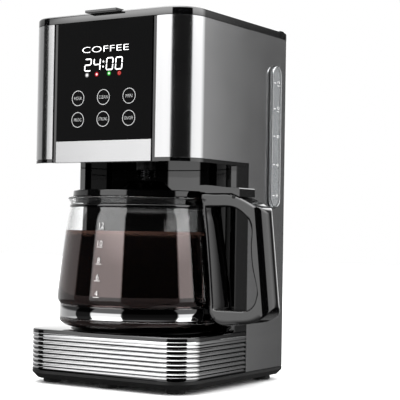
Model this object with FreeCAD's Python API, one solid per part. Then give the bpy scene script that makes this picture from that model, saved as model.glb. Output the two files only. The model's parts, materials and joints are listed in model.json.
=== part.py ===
"""A drip coffee maker with a glass carafe, modelled as an assembly of separate pieces, in millimetres.

The machine is a C shape seen from the side: a flat base with a warming plate, a rear column that holds the
water tank, and a head that holds the brew basket and the control panel. +X is the machine's right, -Y its
front and +Z up. The carafe stands in the bay between base and head, with its handle towards +X.
The origin is on the surface the feet stand on, under the middle of the casing.
"""

import FreeCAD, Part

import math
import os

Vector = FreeCAD.Vector

# Driving dimensions of the casing
WIDTH = 182.0
DEPTH = 188.0
HEIGHT = 341.0
FRONT_RADIUS = 27.5
BACK_RADIUS = 12.0
SEAM_Y = 14.0
FRONT_Y = -DEPTH / 2
BACK_Y = DEPTH / 2
SIDE_X = WIDTH / 2

# Heights of the main levels, from the surface the feet stand on
TRAY_Z = 4.5
BAND_Z = 12.2
DECK_Z = 46.6
DECK_TOP = 50.6
PLATE_TOP = 52.6
HEAD_Z = 204.6
SHEET_Z = 207.8
FLOOR_TOP = 207.2
GLASS_Z = 224.2
LID_Z = 333.4

# Wall thicknesses
SHEET = 1.0
WALL = 2.2
GAP = 0.1
BAND_WALL = 2.2
RIB_HEIGHT = 1.1
RIB_PITCH = 4.1
RIB_COUNT = 7

# Control panel
PANEL_HALF = 53.3
CHANNEL_HALF = 57.6
PANEL_T = 3.0
BEZEL_DEPTH = 7.0
KEY_COLUMNS = (-28.6, 0.0, 28.6)
KEY_ROWS = (263.4, 243.6)
LAMP_XS = (-18.0, -6.5, 6.0, 18.0)
LAMP_Z = 284.0
DISPLAY = (-24.0, 24.0, 280.5, 303.0)

# Carafe: its axis, its glass and its fittings
CARAFE_Y = -24.0
GLASS_WALL = 2.6
BAY_RADIUS = 86.0
WING_Y = -8.0
HANDLE_HALF = 14.0
HINGE_X = 105.6
HINGE_Z = 175.0
LEVER_PIN_R = 1.8
LID_RADIUS = 68.4
LID_TOP = 180.2
DOME_TOP = 190.0
DOME_BASE_R = 27.0
DOME_TOP_R = 17.0

# Brew group in the head
CHAMBER_R = 56.0
CHAMBER_Z = 212.0
CHAMBER_TOP = 326.0
NOZZLE_Z = 200.6
NOZZLE_R = 9.0
STEM_TIP_Z = 190.5
SPIDER_Z = 211.4
BASKET_TOP = 318.0

# Water tank
TANK_FRONT_Y = 37.0
TANK_Z = 112.0
TANK_STEP = 207.8
TANK_TOP = 316.0
TANK_WALL = 2.0

# Water gauge in the right-hand side
GAUGE_Y = 61.0
GAUGE_HALF = 10.5
GAUGE_Z0 = 166.0
GAUGE_Z1 = 306.0
GAUGE_PROUD = 3.5

# Lid hinge at the back of the head
STRIP_Y = 81.0
LID_PIN_Y = 76.9
LID_PIN_Z = 337.2
LID_PIN_R = 1.5
BARREL_R = 3.8
STRIP_KNUCKLES = [(-70.0, -50.0), (-10.0, 10.0), (50.0, 70.0)]
RUNNING = 0.05

# Rubber feet: four near the corners, and one in the middle of the front and of the back
FOOT_R = 8.5
FEET = [(-69.5, -72.0), (69.5, -72.0), (0.0, -78.0), (-75.0, 72.0), (75.0, 72.0), (0.0, 76.0)]

# Bosses that join the tray to the deck, and the screws in them
BOSSES = [(-76.0, -48.0), (76.0, -48.0), (-78.0, 30.0), (78.0, 30.0)]
BOSS_R = 4.5
SCREW_R = 1.5


def box(x0, x1, y0, y1, z0, z1):
    """A block between two corners."""
    return Part.makeBox(x1 - x0, y1 - y0, z1 - z0, Vector(x0, y0, z0))


def rod(x, y, z0, z1, radius):
    """An upright cylinder."""
    return Part.makeCylinder(radius, z1 - z0, Vector(x, y, z0), Vector(0, 0, 1))


def pipe(x, y, z0, z1, outer, inner):
    """An upright tube."""
    return rod(x, y, z0, z1, outer).cut(rod(x, y, z0 - 1, z1 + 1, inner))


def bar_x(x0, x1, y, z, radius):
    """A cylinder along X."""
    return Part.makeCylinder(radius, x1 - x0, Vector(x0, y, z), Vector(1, 0, 0))


def bar_y(x, y0, y1, z, radius):
    """A cylinder along Y."""
    return Part.makeCylinder(radius, y1 - y0, Vector(x, y0, z), Vector(0, 1, 0))


def turned(points, x=0.0, y=CARAFE_Y):
    """A solid of revolution about an upright axis, from (radius, height) points of a closed outline."""
    corners = [Vector(x + r, y, z) for r, z in points]
    wire = Part.makePolygon(corners + corners[:1])
    return Part.Face(wire).revolve(Vector(x, y, 0), Vector(0, 0, 1), 360)


def face_of(pieces, y):
    """A flat face in the X-Z plane at y, from lists of (x, z): two points are a line, more are a curve."""
    edges = []
    for number, piece in enumerate(pieces):
        points = [Vector(x, y, z) for x, z in piece]
        if len(points) > 2:
            curve = Part.BSplineCurve()
            curve.interpolate(points)
            edges.append(curve.toShape())
        else:
            edges.append(Part.LineSegment(points[0], points[1]).toShape())
        x, z = pieces[(number + 1) % len(pieces)][0]
        following = Vector(x, y, z)
        if (following - points[-1]).Length > 1e-6:
            edges.append(Part.LineSegment(points[-1], following).toShape())
    return Part.Face(Part.Wire(edges))


def plate_of(pieces, y0, y1):
    """The face of the pieces as a plate between two values of Y."""
    return face_of(pieces, y0).extrude(Vector(0, y1 - y0, 0))


def fused(shapes):
    """One solid made of several that touch or overlap."""
    result = shapes[0]
    for shape in shapes[1:]:
        result = result.fuse(shape)
    return result.removeSplitter()


def outline(inset):
    """The casing's footprint moved in by inset: a flat face with large front and small back corners."""
    x = SIDE_X - inset
    front, back = FRONT_Y + inset, BACK_Y - inset
    r_front = max(FRONT_RADIUS - inset, 1.0)
    r_back = max(BACK_RADIUS - inset, 1.0)
    turn = math.sqrt(0.5)
    corners = [
        (x, front, r_front, 1, -1),
        (x, back, r_back, 1, 1),
        (-x, back, r_back, -1, 1),
        (-x, front, r_front, -1, -1),
    ]
    arcs = []
    for number, (cx, cy, radius, sx, sy) in enumerate(corners):
        centre = Vector(cx - sx * radius, cy - sy * radius, 0)
        on_y = centre + Vector(0, sy * radius, 0)
        on_x = centre + Vector(sx * radius, 0, 0)
        middle = centre + Vector(sx * radius * turn, sy * radius * turn, 0)
        ends = (on_y, on_x) if number % 2 == 0 else (on_x, on_y)
        arcs.append((ends[0], middle, ends[1]))
    edges = []
    for number, (start, middle, end) in enumerate(arcs):
        edges.append(Part.Arc(start, middle, end).toShape())
        edges.append(Part.LineSegment(end, arcs[(number + 1) % 4][0]).toShape())
    return Part.Face(Part.Wire(edges))


def slab(inset, z0, z1):
    """The footprint, moved in by inset, as a block between two heights."""
    face = outline(inset)
    face.translate(Vector(0, 0, z0))
    return face.extrude(Vector(0, 0, z1 - z0))


def ring(outer, inner, z0, z1):
    """A wall that follows the footprint, between two insets and two heights."""
    return slab(outer, z0, z1).cut(slab(inner, z0 - 1, z1 + 1))


def ahead_of(y, z0=-10.0, z1=400.0):
    """Everything in front of y."""
    return box(-200, 200, -300, y, z0, z1)


def behind(y, z0=-10.0, z1=400.0):
    """Everything behind y."""
    return box(-200, 200, y, 300, z0, z1)


def stepped(front_inset, back_inset, z0, z1):
    """The footprint as a block, with one inset ahead of the seam and another behind it."""
    ahead = slab(front_inset, z0, z1).common(ahead_of(SEAM_Y))
    back = slab(back_inset, z0, z1).common(behind(SEAM_Y))
    return fused([ahead, back])


def tube_path(points, radius, bend):
    """A round rod along straight runs that are joined by tangent arcs of one bend radius."""
    corners = [Vector(*p) for p in points]
    edges = []
    start = corners[0]
    for before, here, after in zip(corners, corners[1:], corners[2:]):
        into = (here - before).normalize()
        out = (after - here).normalize()
        half = math.acos(max(-1.0, min(1.0, into.dot(out)))) / 2
        run_off = bend * math.tan(half)
        a, b = here - into * run_off, here + out * run_off
        towards = (out - into).normalize()
        centre = here + towards * (bend / math.cos(half))
        middle = centre - towards * bend
        edges.append(Part.LineSegment(start, a).toShape())
        edges.append(Part.Arc(a, middle, b).toShape())
        start = b
    edges.append(Part.LineSegment(start, corners[-1]).toShape())
    first = (corners[1] - corners[0]).normalize()
    profile = Part.Wire(Part.makeCircle(radius, corners[0], first))
    return Part.Wire(edges).makePipeShell([profile], True, False)


def hose(points, outer, inner, bend):
    """A hose with an open bore along a path of straight runs and arcs."""
    return tube_path(points, outer, bend).cut(tube_path(points, inner, bend))


# ---------------------------------------------------------------- base


def base_tray():
    """The moulded tray under everything: a skirt tapered at its foot, a vented floor, walls and bosses."""
    taper = 5.0
    skirt = slab(0.3, TRAY_Z, BAND_Z - GAP)
    lower_edges = [e for e in skirt.Edges if abs(e.BoundBox.ZMax - TRAY_Z) < 1e-6]
    skirt = skirt.makeChamfer(taper, lower_edges)
    front_inset = BAND_WALL + RIB_HEIGHT + GAP
    walls = stepped(front_inset, SHEET + GAP, BAND_Z - GAP, DECK_Z)
    body = fused([skirt, walls])
    body = body.cut(stepped(front_inset + WALL, SHEET + GAP + WALL, TRAY_Z + taper, DECK_Z + 1))
    posts = [rod(x, y, TRAY_Z + taper - 1, DECK_Z, BOSS_R) for x, y in BOSSES]
    body = fused([body] + posts)
    for x, y in BOSSES:
        body = body.cut(rod(x, y, TRAY_Z - 1, DECK_Z + 1, SCREW_R + 0.2))
        body = body.cut(rod(x, y, TRAY_Z - 1, TRAY_Z + 2.5, 3.3))
    for x, y in FEET:
        body = body.cut(rod(x, y, TRAY_Z - 1, TRAY_Z + 1.5, 4.0))
    for row in range(7):
        y = -24.0 + row * 8.0
        for side in (-1, 1):
            body = body.cut(box(side * 26 - 14, side * 26 + 14, y, y + 3.2, TRAY_Z - 1, TRAY_Z + taper + 1))
    return body


def feet():
    """Rubber feet: a pad with a stem pressed into the tray's floor."""
    pads = []
    for x, y in FEET:
        pad = turned([(0, 0), (FOOT_R - 0.8, 0), (FOOT_R, 0.8), (FOOT_R, TRAY_Z), (0, TRAY_Z)], x, y)
        pads.append(fused([pad, rod(x, y, TRAY_Z - 0.5, TRAY_Z + 1.5, 4.0)]))
    return Part.makeCompound(pads)


def base_band():
    """The bright ribbed band round the front and sides of the base."""
    lip = (DECK_Z - BAND_Z - RIB_COUNT * RIB_PITCH) / 2
    core = slab(RIB_HEIGHT, BAND_Z, DECK_Z)
    for z in (BAND_Z, DECK_Z - lip + 0.4):
        core = core.fuse(slab(0.0, z, z + lip - 0.4))
    for number in range(RIB_COUNT):
        z = BAND_Z + lip + (number + 0.5) * RIB_PITCH
        half = RIB_PITCH * 0.38
        rib = slab(0.0, z - half, z + half)
        level_edges = [e for e in rib.Edges if e.BoundBox.ZLength < 1e-6]
        core = core.fuse(rib.makeFillet(RIB_HEIGHT - 0.05, level_edges))
    hollow = slab(RIB_HEIGHT + BAND_WALL, BAND_Z - 1, DECK_Z + 1)
    return core.cut(hollow).common(ahead_of(SEAM_Y - GAP)).removeSplitter()


def base_deck():
    """The glossy top of the base, with the hole the warming plate drops into."""
    rim = slab(0.2, DECK_Z, DECK_TOP).common(ahead_of(SEAM_Y))
    on_top = [e for e in rim.Edges if abs(e.BoundBox.ZMin - DECK_TOP) < 1e-6]
    on_top = [e for e in on_top if e.BoundBox.YMin < SEAM_Y - 1e-3]
    rim = rim.makeFillet(1.5, on_top)
    back = slab(SHEET + GAP, DECK_Z, DECK_TOP).common(behind(SEAM_Y))
    deck = fused([rim, back])
    deck = deck.cut(rod(0, CARAFE_Y, DECK_Z - 1, DECK_TOP + 1, 60.0))
    deck = deck.cut(pipe(0, CARAFE_Y, DECK_TOP - 0.8, DECK_TOP + 1, 67.5, 50.0))
    for x, y in BOSSES:
        deck = deck.cut(rod(x, y, DECK_Z - 1, DECK_Z + 2.5, SCREW_R))
    for x in (-HOSE_X, HOSE_X):
        deck = deck.cut(rod(x, HOSE_Y, DECK_Z - 1, DECK_TOP + 1, 7.5))
    return deck


def warming_plate():
    """The coated steel plate: a flat pan whose flange rests in the deck."""
    lower = DECK_TOP - 0.8
    outer = [(0, PLATE_TOP - 1.2), (57, PLATE_TOP - 1.2), (57.0, lower), (67.2, lower), (67.2, lower + 1.2)]
    upper = [(62.5, lower + 1.2), (60.5, PLATE_TOP), (0, PLATE_TOP)]
    return turned(outer + upper)


def plate_gasket():
    """The silicone ring that seals the warming plate to the deck's hole."""
    return pipe(0, CARAFE_Y, DECK_Z + 0.2, DECK_TOP - 0.85, 59.8, 57.4)


HEATER_R = 38.0
HEATER_TOP = PLATE_TOP - 1.3
PORT_Z = HEATER_TOP - 11.0
TUBE_R = 4.0
HOSE_R = 5.6
HOSE_X = 40.0
HOSE_Y = 74.0
RISER_TOP_Y = 50.0


def heater():
    """The cast aluminium heater: a horseshoe under the plate, with the two ends of its water tube."""
    r0, r1 = HEATER_R - 7, HEATER_R + 7
    z0, z1 = HEATER_TOP - 15, HEATER_TOP
    corners = ((r0, z0), (r1, z0), (r1, z1), (r0, z1), (r0, z0))
    section = Part.Face(Part.makePolygon([Vector(r, CARAFE_Y, z) for r, z in corners]))
    section.rotate(Vector(0, CARAFE_Y, 0), Vector(0, 0, 1), 50)
    shoe = section.revolve(Vector(0, CARAFE_Y, 0), Vector(0, 0, 1), -280)
    ends = []
    for side in (-1, 1):
        x, y = heater_port(side)
        ends.append(bar_y(x, y - 6, y + 22, PORT_Z, TUBE_R))
    return fused([shoe] + ends)


def heater_bracket():
    """The pressed strap that holds the heater up against the plate."""
    strap = box(-52, 52, CARAFE_Y - 8, CARAFE_Y + 8, HEATER_TOP - 16.7, HEATER_TOP - 15.2)
    return strap.cut(rod(0, CARAFE_Y, HEATER_TOP - 20, HEATER_TOP, 2.2))


def bracket_screw():
    """The stud and nut in the middle of the heater strap."""
    head = rod(0, CARAFE_Y, HEATER_TOP - 20.2, HEATER_TOP - 16.8, 4.0)
    return fused([head, rod(0, CARAFE_Y, HEATER_TOP - 20.2, PLATE_TOP - 1.25, 2.0)])


def thermostat():
    """The disc thermostat on the heater strap, with its two tabs."""
    can = rod(-26, CARAFE_Y, HEATER_TOP - 23, HEATER_TOP - 16.8, 7.5)
    top = HEATER_TOP - 22
    tabs = [box(-30, -22, CARAFE_Y + s - 0.5, CARAFE_Y + s + 0.5, top - 8, top) for s in (-4, 4)]
    return fused([can] + tabs)


def thermal_fuses():
    """Two thermal fuses in sleeves, clipped beside the thermostat."""
    return Part.makeCompound([bar_x(12, 30, CARAFE_Y + s * 4.0, HEATER_TOP - 19.2, 2.2) for s in (-1, 1)])


POWER_BOARD_Z = 14.0


def power_board():
    """The power board on the tray's floor, with its capacitor and terminals."""
    board = box(-64, -4, 34, 82, POWER_BOARD_Z, POWER_BOARD_Z + 1.6)
    capacitor = box(-60, -44, 40, 50, POWER_BOARD_Z + 1.6, POWER_BOARD_Z + 13)
    z0, z1 = POWER_BOARD_Z + 1.6, POWER_BOARD_Z + 11
    terminals = [box(-16, -8, 42 + k * 9, 48 + k * 9, z0, z1) for k in range(4)]
    return fused([board, capacitor] + terminals)


def power_relay():
    """The relay that switches the heater."""
    return box(-40, -21, 44, 60, POWER_BOARD_Z + 1.7, POWER_BOARD_Z + 17)


def board_standoffs():
    """Four posts that carry the power board."""
    floor = TRAY_Z + 5.0
    places = [(x, y) for x in (-60, -8) for y in (38, 78)]
    return Part.makeCompound([rod(x, y, floor, POWER_BOARD_Z - 0.05, 3.0) for x, y in places])


def tray_screws():
    """Screws up through the tray into the deck."""
    screws = []
    for x, y in BOSSES:
        head = rod(x, y, TRAY_Z + 0.1, TRAY_Z + 2.3, 2.9)
        shank = rod(x, y, TRAY_Z + 2.2, DECK_Z + 2.4, SCREW_R - 0.05)
        slot = box(x - 2.2, x + 2.2, y - 0.3, y + 0.3, TRAY_Z, TRAY_Z + 0.9)
        cross = box(x - 0.3, x + 0.3, y - 2.2, y + 2.2, TRAY_Z, TRAY_Z + 0.9)
        screws.append(fused([head, shank]).cut(slot).cut(cross))
    return Part.makeCompound(screws)


# ---------------------------------------------------------------- column and casing


def column():
    """The black rear column: side wings and a wall hollowed round the carafe."""
    outer = slab(0.2, DECK_TOP, HEAD_Z).common(box(-200, 200, WING_Y, SEAM_Y, 0, 400))
    covered = slab(SHEET + GAP, DECK_TOP, HEAD_Z).common(behind(SEAM_Y))
    body = fused([outer, covered]).cut(rod(0, CARAFE_Y, 0, 400, BAY_RADIUS))
    inside = slab(SHEET + GAP + WALL, DECK_TOP - 1, HEAD_Z + 1).common(behind(WING_Y + WALL))
    inside = inside.cut(rod(0, CARAFE_Y, 0, 400, BAY_RADIUS + WALL))
    return body.cut(inside).cut(rounded_slot(GAUGE_HALF - 1.5, GAUGE_Z0 + 1.5, GAUGE_Z1 - 1.5, 80, 100))


def head_frame():
    """The head's black moulding: floor, side walls and the wall behind the control panel."""
    inner = SHEET + GAP + WALL
    floor = slab(0.15, HEAD_Z, FLOOR_TOP).common(ahead_of(SEAM_Y))
    rear_floor = slab(SHEET + GAP, HEAD_Z, FLOOR_TOP).common(behind(SEAM_Y))
    tank_well = slab(inner, HEAD_Z - 1, FLOOR_TOP + 1).common(behind(28.0))
    tank_well = tank_well.cut(rod(0, CARAFE_Y, 0, 400, BAY_RADIUS + WALL))
    walls = slab(SHEET + GAP, FLOOR_TOP - 0.5, LID_Z - GAP).cut(slab(inner, FLOOR_TOP - 1, LID_Z + 1))
    bay = box(-CHANNEL_HALF, CHANNEL_HALF, FRONT_Y - 1, FRONT_Y + BEZEL_DEPTH, HEAD_Z - 1, LID_Z + 1)
    front = FRONT_Y + BEZEL_DEPTH
    half = CHANNEL_HALF + 0.5
    inner_wall = box(-half, half, front, front + 2, FLOOR_TOP - 0.5, LID_Z - GAP)
    cheeks = [
        box(min(a, b), max(a, b), FRONT_Y + 1.5, front + 2, FLOOR_TOP - 0.5, LID_Z - GAP)
        for a, b in ((CHANNEL_HALF, CHANNEL_HALF + 1.6), (-CHANNEL_HALF, -CHANNEL_HALF - 1.6))
    ]
    body = fused([floor, rear_floor, walls]).cut(bay).cut(tank_well)
    body = fused([body, inner_wall] + cheeks)
    body = body.cut(rod(0, CARAFE_Y, HEAD_Z - 1, SHEET_Z + 5, NOZZLE_R + 4.0))
    body = body.cut(box(-48, 48, FRONT_Y + 5, FRONT_Y + 12, 234, 304))
    return body.cut(rounded_slot(GAUGE_HALF - 1.5, GAUGE_Z0 + 1.5, GAUGE_Z1 - 1.5, 80, 100))


def rounded_slot(half, z0, z1, x0, x1):
    """A block with half-round ends, upright in the side of the casing at the water gauge."""
    middle = box(x0, x1, GAUGE_Y - half, GAUGE_Y + half, z0 + half, z1 - half)
    ends = [bar_x(x0, x1, GAUGE_Y, z, half) for z in (z0 + half, z1 - half)]
    return fused([middle] + ends)


def side_sheet(side):
    """One brushed steel sheet of the head, from the panel round the front corner to the seam."""
    sheet = ring(0.0, SHEET, SHEET_Z, LID_Z - GAP)
    span = box(CHANNEL_HALF, 200, -200, SEAM_Y - GAP, 0, 400)
    if side < 0:
        span = box(-200, -CHANNEL_HALF, -200, SEAM_Y - GAP, 0, 400)
    return sheet.common(span)


def left_sheet():
    """The sheet that wraps the head's -X front corner."""
    return side_sheet(-1)


def right_sheet():
    """The sheet that wraps the head's +X front corner."""
    return side_sheet(1)


def rear_cover():
    """The brushed steel cover of the column and head: both sides and the back in one folded sheet."""
    sheet = ring(0.0, SHEET, BAND_Z + 0.8, LID_Z - GAP).common(behind(SEAM_Y))
    sheet = sheet.cut(rounded_slot(GAUGE_HALF + 0.1, GAUGE_Z0 - 0.1, GAUGE_Z1 + 0.1, 80, 100))
    for row in range(9):
        z = 250.0 + row * 7.0
        sheet = sheet.cut(box(-30, 30, 80, 100, z, z + 2.4))
    sheet = sheet.cut(bar_y(GLAND_X, 80, 100, GLAND_Z, 7.0))
    for x, z in COVER_SCREWS:
        sheet = sheet.cut(bar_y(x, 80, 100, z, 1.9))
    return sheet


GLAND_X = -48.0
GLAND_Z = 32.0
COVER_SCREWS = [(-70, 40), (70, 40), (-70, 180), (70, 180), (-70, 320), (70, 320)]


def cover_screws():
    """Six screws that hold the rear cover to the column, the tray and the head."""
    screws = []
    for x, z in COVER_SCREWS:
        head = bar_y(x, BACK_Y + 0.02, BACK_Y + 1.6, z, 3.4)
        shank = bar_y(x, BACK_Y - SHEET - 0.05, BACK_Y + 0.5, z, 1.7)
        slot = box(x - 2.4, x + 2.4, BACK_Y + 0.9, BACK_Y + 2, z - 0.35, z + 0.35)
        cross = box(x - 0.35, x + 0.35, BACK_Y + 0.9, BACK_Y + 2, z - 2.4, z + 2.4)
        screws.append(fused([head, shank]).cut(slot).cut(cross))
    return Part.makeCompound(screws)


def cord_gland():
    """The gland in the back of the base that the mains lead would leave through."""
    flange = bar_y(GLAND_X, BACK_Y + 0.02, BACK_Y + 2.6, GLAND_Z, 9.5)
    throat = bar_y(GLAND_X, BACK_Y - SHEET - 0.05, BACK_Y + 1, GLAND_Z, 6.8)
    return fused([flange, throat]).cut(bar_y(GLAND_X, 60, 120, GLAND_Z, 3.6))


def control_panel():
    """The glass touch panel."""
    return box(-PANEL_HALF, PANEL_HALF, FRONT_Y, FRONT_Y + PANEL_T, GLASS_Z + 0.2, LID_Z - 0.3)


def trim_bar():
    """The bright bar under the glass panel."""
    return box(-PANEL_HALF, PANEL_HALF, FRONT_Y, FRONT_Y + PANEL_T, HEAD_Z + 0.1, GLASS_Z - 0.1)


def panel_bezel():
    """The black frame behind the glass, with a raised rail down each side of it."""
    back = box(
        -CHANNEL_HALF + GAP, CHANNEL_HALF - GAP,
        FRONT_Y + PANEL_T + GAP, FRONT_Y + BEZEL_DEPTH - GAP,
        HEAD_Z + 0.1, LID_Z - 0.3,
    )
    rails = []
    for side in (-1, 1):
        a, b = side * (PANEL_HALF + 0.1), side * (CHANNEL_HALF - GAP)
        y0, y1 = FRONT_Y + 1.2, FRONT_Y + PANEL_T + 1
        rails.append(box(min(a, b), max(a, b), y0, y1, HEAD_Z + 0.1, LID_Z - 0.3))
    window = box(-46, 46, FRONT_Y, FRONT_Y + 10, 236, 303)
    return fused([back] + rails).cut(window)


def control_board():
    """The circuit board behind the panel."""
    board = box(-47, 47, FRONT_Y + BEZEL_DEPTH + 0.5, FRONT_Y + BEZEL_DEPTH + 1.9, 235, 303.5)
    chip = box(-8, 8, FRONT_Y + BEZEL_DEPTH + 1.9, FRONT_Y + BEZEL_DEPTH + 3.6, 250, 260)
    return fused([board, chip])


def display():
    """The clock display block between the board and the glass."""
    x0, x1, z0, z1 = DISPLAY
    return box(x0, x1, FRONT_Y + PANEL_T + GAP, FRONT_Y + BEZEL_DEPTH + 0.4, z0 + 6, z1 - 0.2)


def indicator_lamps():
    """Four small lamps in a row under the clock."""
    y0, y1 = FRONT_Y + PANEL_T + GAP, FRONT_Y + BEZEL_DEPTH + 0.4
    return Part.makeCompound([bar_y(x, y0, y1, LAMP_Z - 1, 1.6) for x in LAMP_XS])


def touch_springs():
    """The six coil contacts that carry touch from the glass to the board, as plain posts."""
    y0, y1 = FRONT_Y + PANEL_T + GAP, FRONT_Y + BEZEL_DEPTH + 0.4
    posts = [
        bar_y(x, y0, y1, z, 4.0).cut(bar_y(x, FRONT_Y, FRONT_Y + 12, z, 3.0))
        for x in KEY_COLUMNS
        for z in KEY_ROWS
    ]
    return Part.makeCompound(posts)


# ---------------------------------------------------------------- tank, gauge and water path


def tank_space(inset):
    """The tank's form moved in by inset: a slab behind the chamber that thins behind the carafe bay."""
    wall = SHEET + WALL + 0.6 + inset
    whole = slab(wall, TANK_Z + inset, TANK_TOP).common(behind(30.0 + inset))
    upper = box(-200, 200, -300, TANK_FRONT_Y + inset, TANK_STEP + inset, 400)
    bay = rod(0, CARAFE_Y, 0, TANK_STEP + inset, BAY_RADIUS + WALL + 0.6 + inset)
    return whole.cut(upper).cut(bay)


def water_tank():
    """The open-topped water tank, with its outlet spout and the hole the riser passes through."""
    shell = tank_space(0.0).cut(tank_space(TANK_WALL))
    shell = shell.cut(rod(-HOSE_X, HOSE_Y, TANK_Z - 1, TANK_Z + 4, 3.2))
    shell = shell.cut(rod(HOSE_X, HOSE_Y, TANK_Z - 1, TANK_Z + 4, 6.0))
    return fused([shell, pipe(-HOSE_X, HOSE_Y, TANK_Z - 10, TANK_Z, 5.0, 3.2)])


def gauge_gasket():
    """The black gasket round the gauge window, set in the cover's slot."""
    outer = rounded_slot(GAUGE_HALF, GAUGE_Z0, GAUGE_Z1, SIDE_X - SHEET, SIDE_X + 0.8)
    return outer.cut(rounded_slot(GAUGE_HALF - 1.5, GAUGE_Z0 + 1.5, GAUGE_Z1 - 1.5, 80, 100))


def gauge_window():
    """The clear gauge cover that stands proud of the side."""
    inner = GAUGE_HALF - 1.6
    body = rounded_slot(inner, GAUGE_Z0 + 1.6, GAUGE_Z1 - 1.6, SIDE_X - SHEET, SIDE_X + GAUGE_PROUD)
    x0, x1 = SIDE_X - SHEET - 1, SIDE_X + GAUGE_PROUD - 2.0
    hollow = rounded_slot(inner - 2.0, GAUGE_Z0 + 3.6, GAUGE_Z1 - 3.6, x0, x1)
    return body.cut(hollow)


def gauge_scale():
    """The strip behind the window that carries the cup marks."""
    return rounded_slot(GAUGE_HALF - 3.9, GAUGE_Z0 + 4.0, GAUGE_Z1 - 4.0, SIDE_X - SHEET, SIDE_X + 0.6)


def check_valve():
    """The non-return valve under the tank's spout: a wide body with a nipple below for the hose."""
    body = pipe(-HOSE_X, HOSE_Y, 84.0, TANK_Z - 10.1, 7.2, 3.4)
    return fused([body, pipe(-HOSE_X, HOSE_Y, 76.0, 84.0, TUBE_R, 2.4)])


def valve_ball():
    """The ball in the non-return valve."""
    return Part.makeSphere(3.0, Vector(-HOSE_X, HOSE_Y, 92.0))


def inlet_hose():
    """The hose from the non-return valve down through the deck to the heater's inlet."""
    x, y = heater_port(-1)
    corners = [(-HOSE_X, HOSE_Y, 83.8), (-HOSE_X, HOSE_Y, PORT_Z)]
    corners += [(x, HOSE_Y - 22, PORT_Z), (x, y + 12, PORT_Z)]
    return hose(corners, HOSE_R, TUBE_R + 0.05, 9.0)


def heater_port(side):
    """The (x, y) of one end of the heater's tube; side is -1 for the -X end and 1 for the +X one."""
    angle = math.radians(90 - side * 44)
    return HEATER_R * math.cos(angle), CARAFE_Y + HEATER_R * math.sin(angle)


def outlet_hose():
    """The hose from the heater's outlet up through the deck to the riser."""
    x, y = heater_port(1)
    corners = [(HOSE_X, HOSE_Y, 100.0), (HOSE_X, HOSE_Y, PORT_Z)]
    corners += [(x, HOSE_Y - 22, PORT_Z), (x, y + 12, PORT_Z)]
    return hose(corners, HOSE_R, TUBE_R + 0.05, 9.0)


def hose_clips():
    """The spring clips on the hoses' ends."""
    bore = HOSE_R + 0.05
    clips = [pipe(-HOSE_X, HOSE_Y, 77, 82, bore + 1, bore), pipe(HOSE_X, HOSE_Y, 92, 97, bore + 1, bore)]
    for side in (-1, 1):
        x, y = heater_port(side)
        ring_y = bar_y(x, y + 14, y + 19, PORT_Z, bore + 0.6)
        clips.append(ring_y.cut(bar_y(x, y, y + 40, PORT_Z, bore)))
    return Part.makeCompound(clips)


def riser_tube():
    """The tube that carries hot water up inside the tank and forward to the lid's inlet."""
    corners = [(HOSE_X, HOSE_Y, 88.0), (HOSE_X, HOSE_Y, 306.0)]
    corners += [(0, RISER_TOP_Y, 306.0), (0, RISER_TOP_Y, 325.0)]
    return hose(corners, TUBE_R, 2.6, 8.0)


# ---------------------------------------------------------------- brew group


def riser_grommet():
    """The grommet that seals the riser where it passes the tank's floor."""
    body = rod(HOSE_X, HOSE_Y, TANK_Z, TANK_Z + TANK_WALL, 5.95)
    for z in (TANK_Z - 2.05, TANK_Z + TANK_WALL + 0.05):
        body = body.fuse(rod(HOSE_X, HOSE_Y, min(z, TANK_Z), max(z + 2, TANK_Z + TANK_WALL), 5.95))
        body = body.fuse(rod(HOSE_X, HOSE_Y, z, z + 2.0, 8.0))
    return body.cut(rod(HOSE_X, HOSE_Y, 0, 400, TUBE_R + 0.05)).removeSplitter()


def riser_cup():
    """The soft cup on the riser's end that the lid's inlet closes onto."""
    outside = [(4.05, 316.0), (6.0, 316.0), (6.0, 324.0), (7.5, 329.6)]
    return turned(outside + [(6.2, 329.6), (4.6, 325.2), (4.05, 325.2)], 0.0, RISER_TOP_Y)


def brew_chamber():
    """The fixed chamber that the basket drops into, with the ring it stands on and the basket's seat."""
    t = 2.0
    outer = [(NOZZLE_R + 2.6, CHAMBER_Z), (42, CHAMBER_Z), (CHAMBER_R - 2, 240), (CHAMBER_R, CHAMBER_TOP)]
    inner = [(CHAMBER_R - t, CHAMBER_TOP), (CHAMBER_R - 2 - t, 240.5)]
    inner += [(41, CHAMBER_Z + t), (NOZZLE_R + 2.6, CHAMBER_Z + t)]
    foot = pipe(0, CARAFE_Y, SHEET_Z - 0.55, CHAMBER_Z + 1, 41, 38.5)
    seat = pipe(0, CARAFE_Y, CHAMBER_Z + 1, 214.95, 24, 20)
    return fused([turned(outer + inner), foot, seat])


def filter_basket():
    """The removable brew basket: a tapered cup with a rim, a ledge and a nozzle under it."""
    outer = [(NOZZLE_R, NOZZLE_Z), (NOZZLE_R, 215.0), (39.0, 215.0), (51.0, 244.0), (52.6, BASKET_TOP - 2)]
    rim = [(53.5, BASKET_TOP - 2), (53.5, BASKET_TOP)]
    inner = [(51.0, BASKET_TOP), (49.2, 245.0), (38.0, 217.2), (6.8, 217.2), (6.8, NOZZLE_Z)]
    cup = turned(outer + rim + inner)
    ledge = pipe(0, CARAFE_Y, 309.2, 310.95, 51.2, 47.6)
    spider = pipe(0, CARAFE_Y, SPIDER_Z, SPIDER_Z + 1.6, 7.2, 1.9)
    for number in range(3):
        angle = math.radians(120 * number)
        spider = spider.cut(rod(4.4 * math.cos(angle), CARAFE_Y + 4.4 * math.sin(angle), 200, 220, 1.6))
    y0, y1 = CARAFE_Y - 6, CARAFE_Y + 6
    tabs = [box(x - 1.0, x + 1.0, y0, y1, BASKET_TOP - 1.9, BASKET_TOP + 2) for x in (-52.4, 52.4)]
    return fused([cup, ledge, spider] + tabs)


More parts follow.
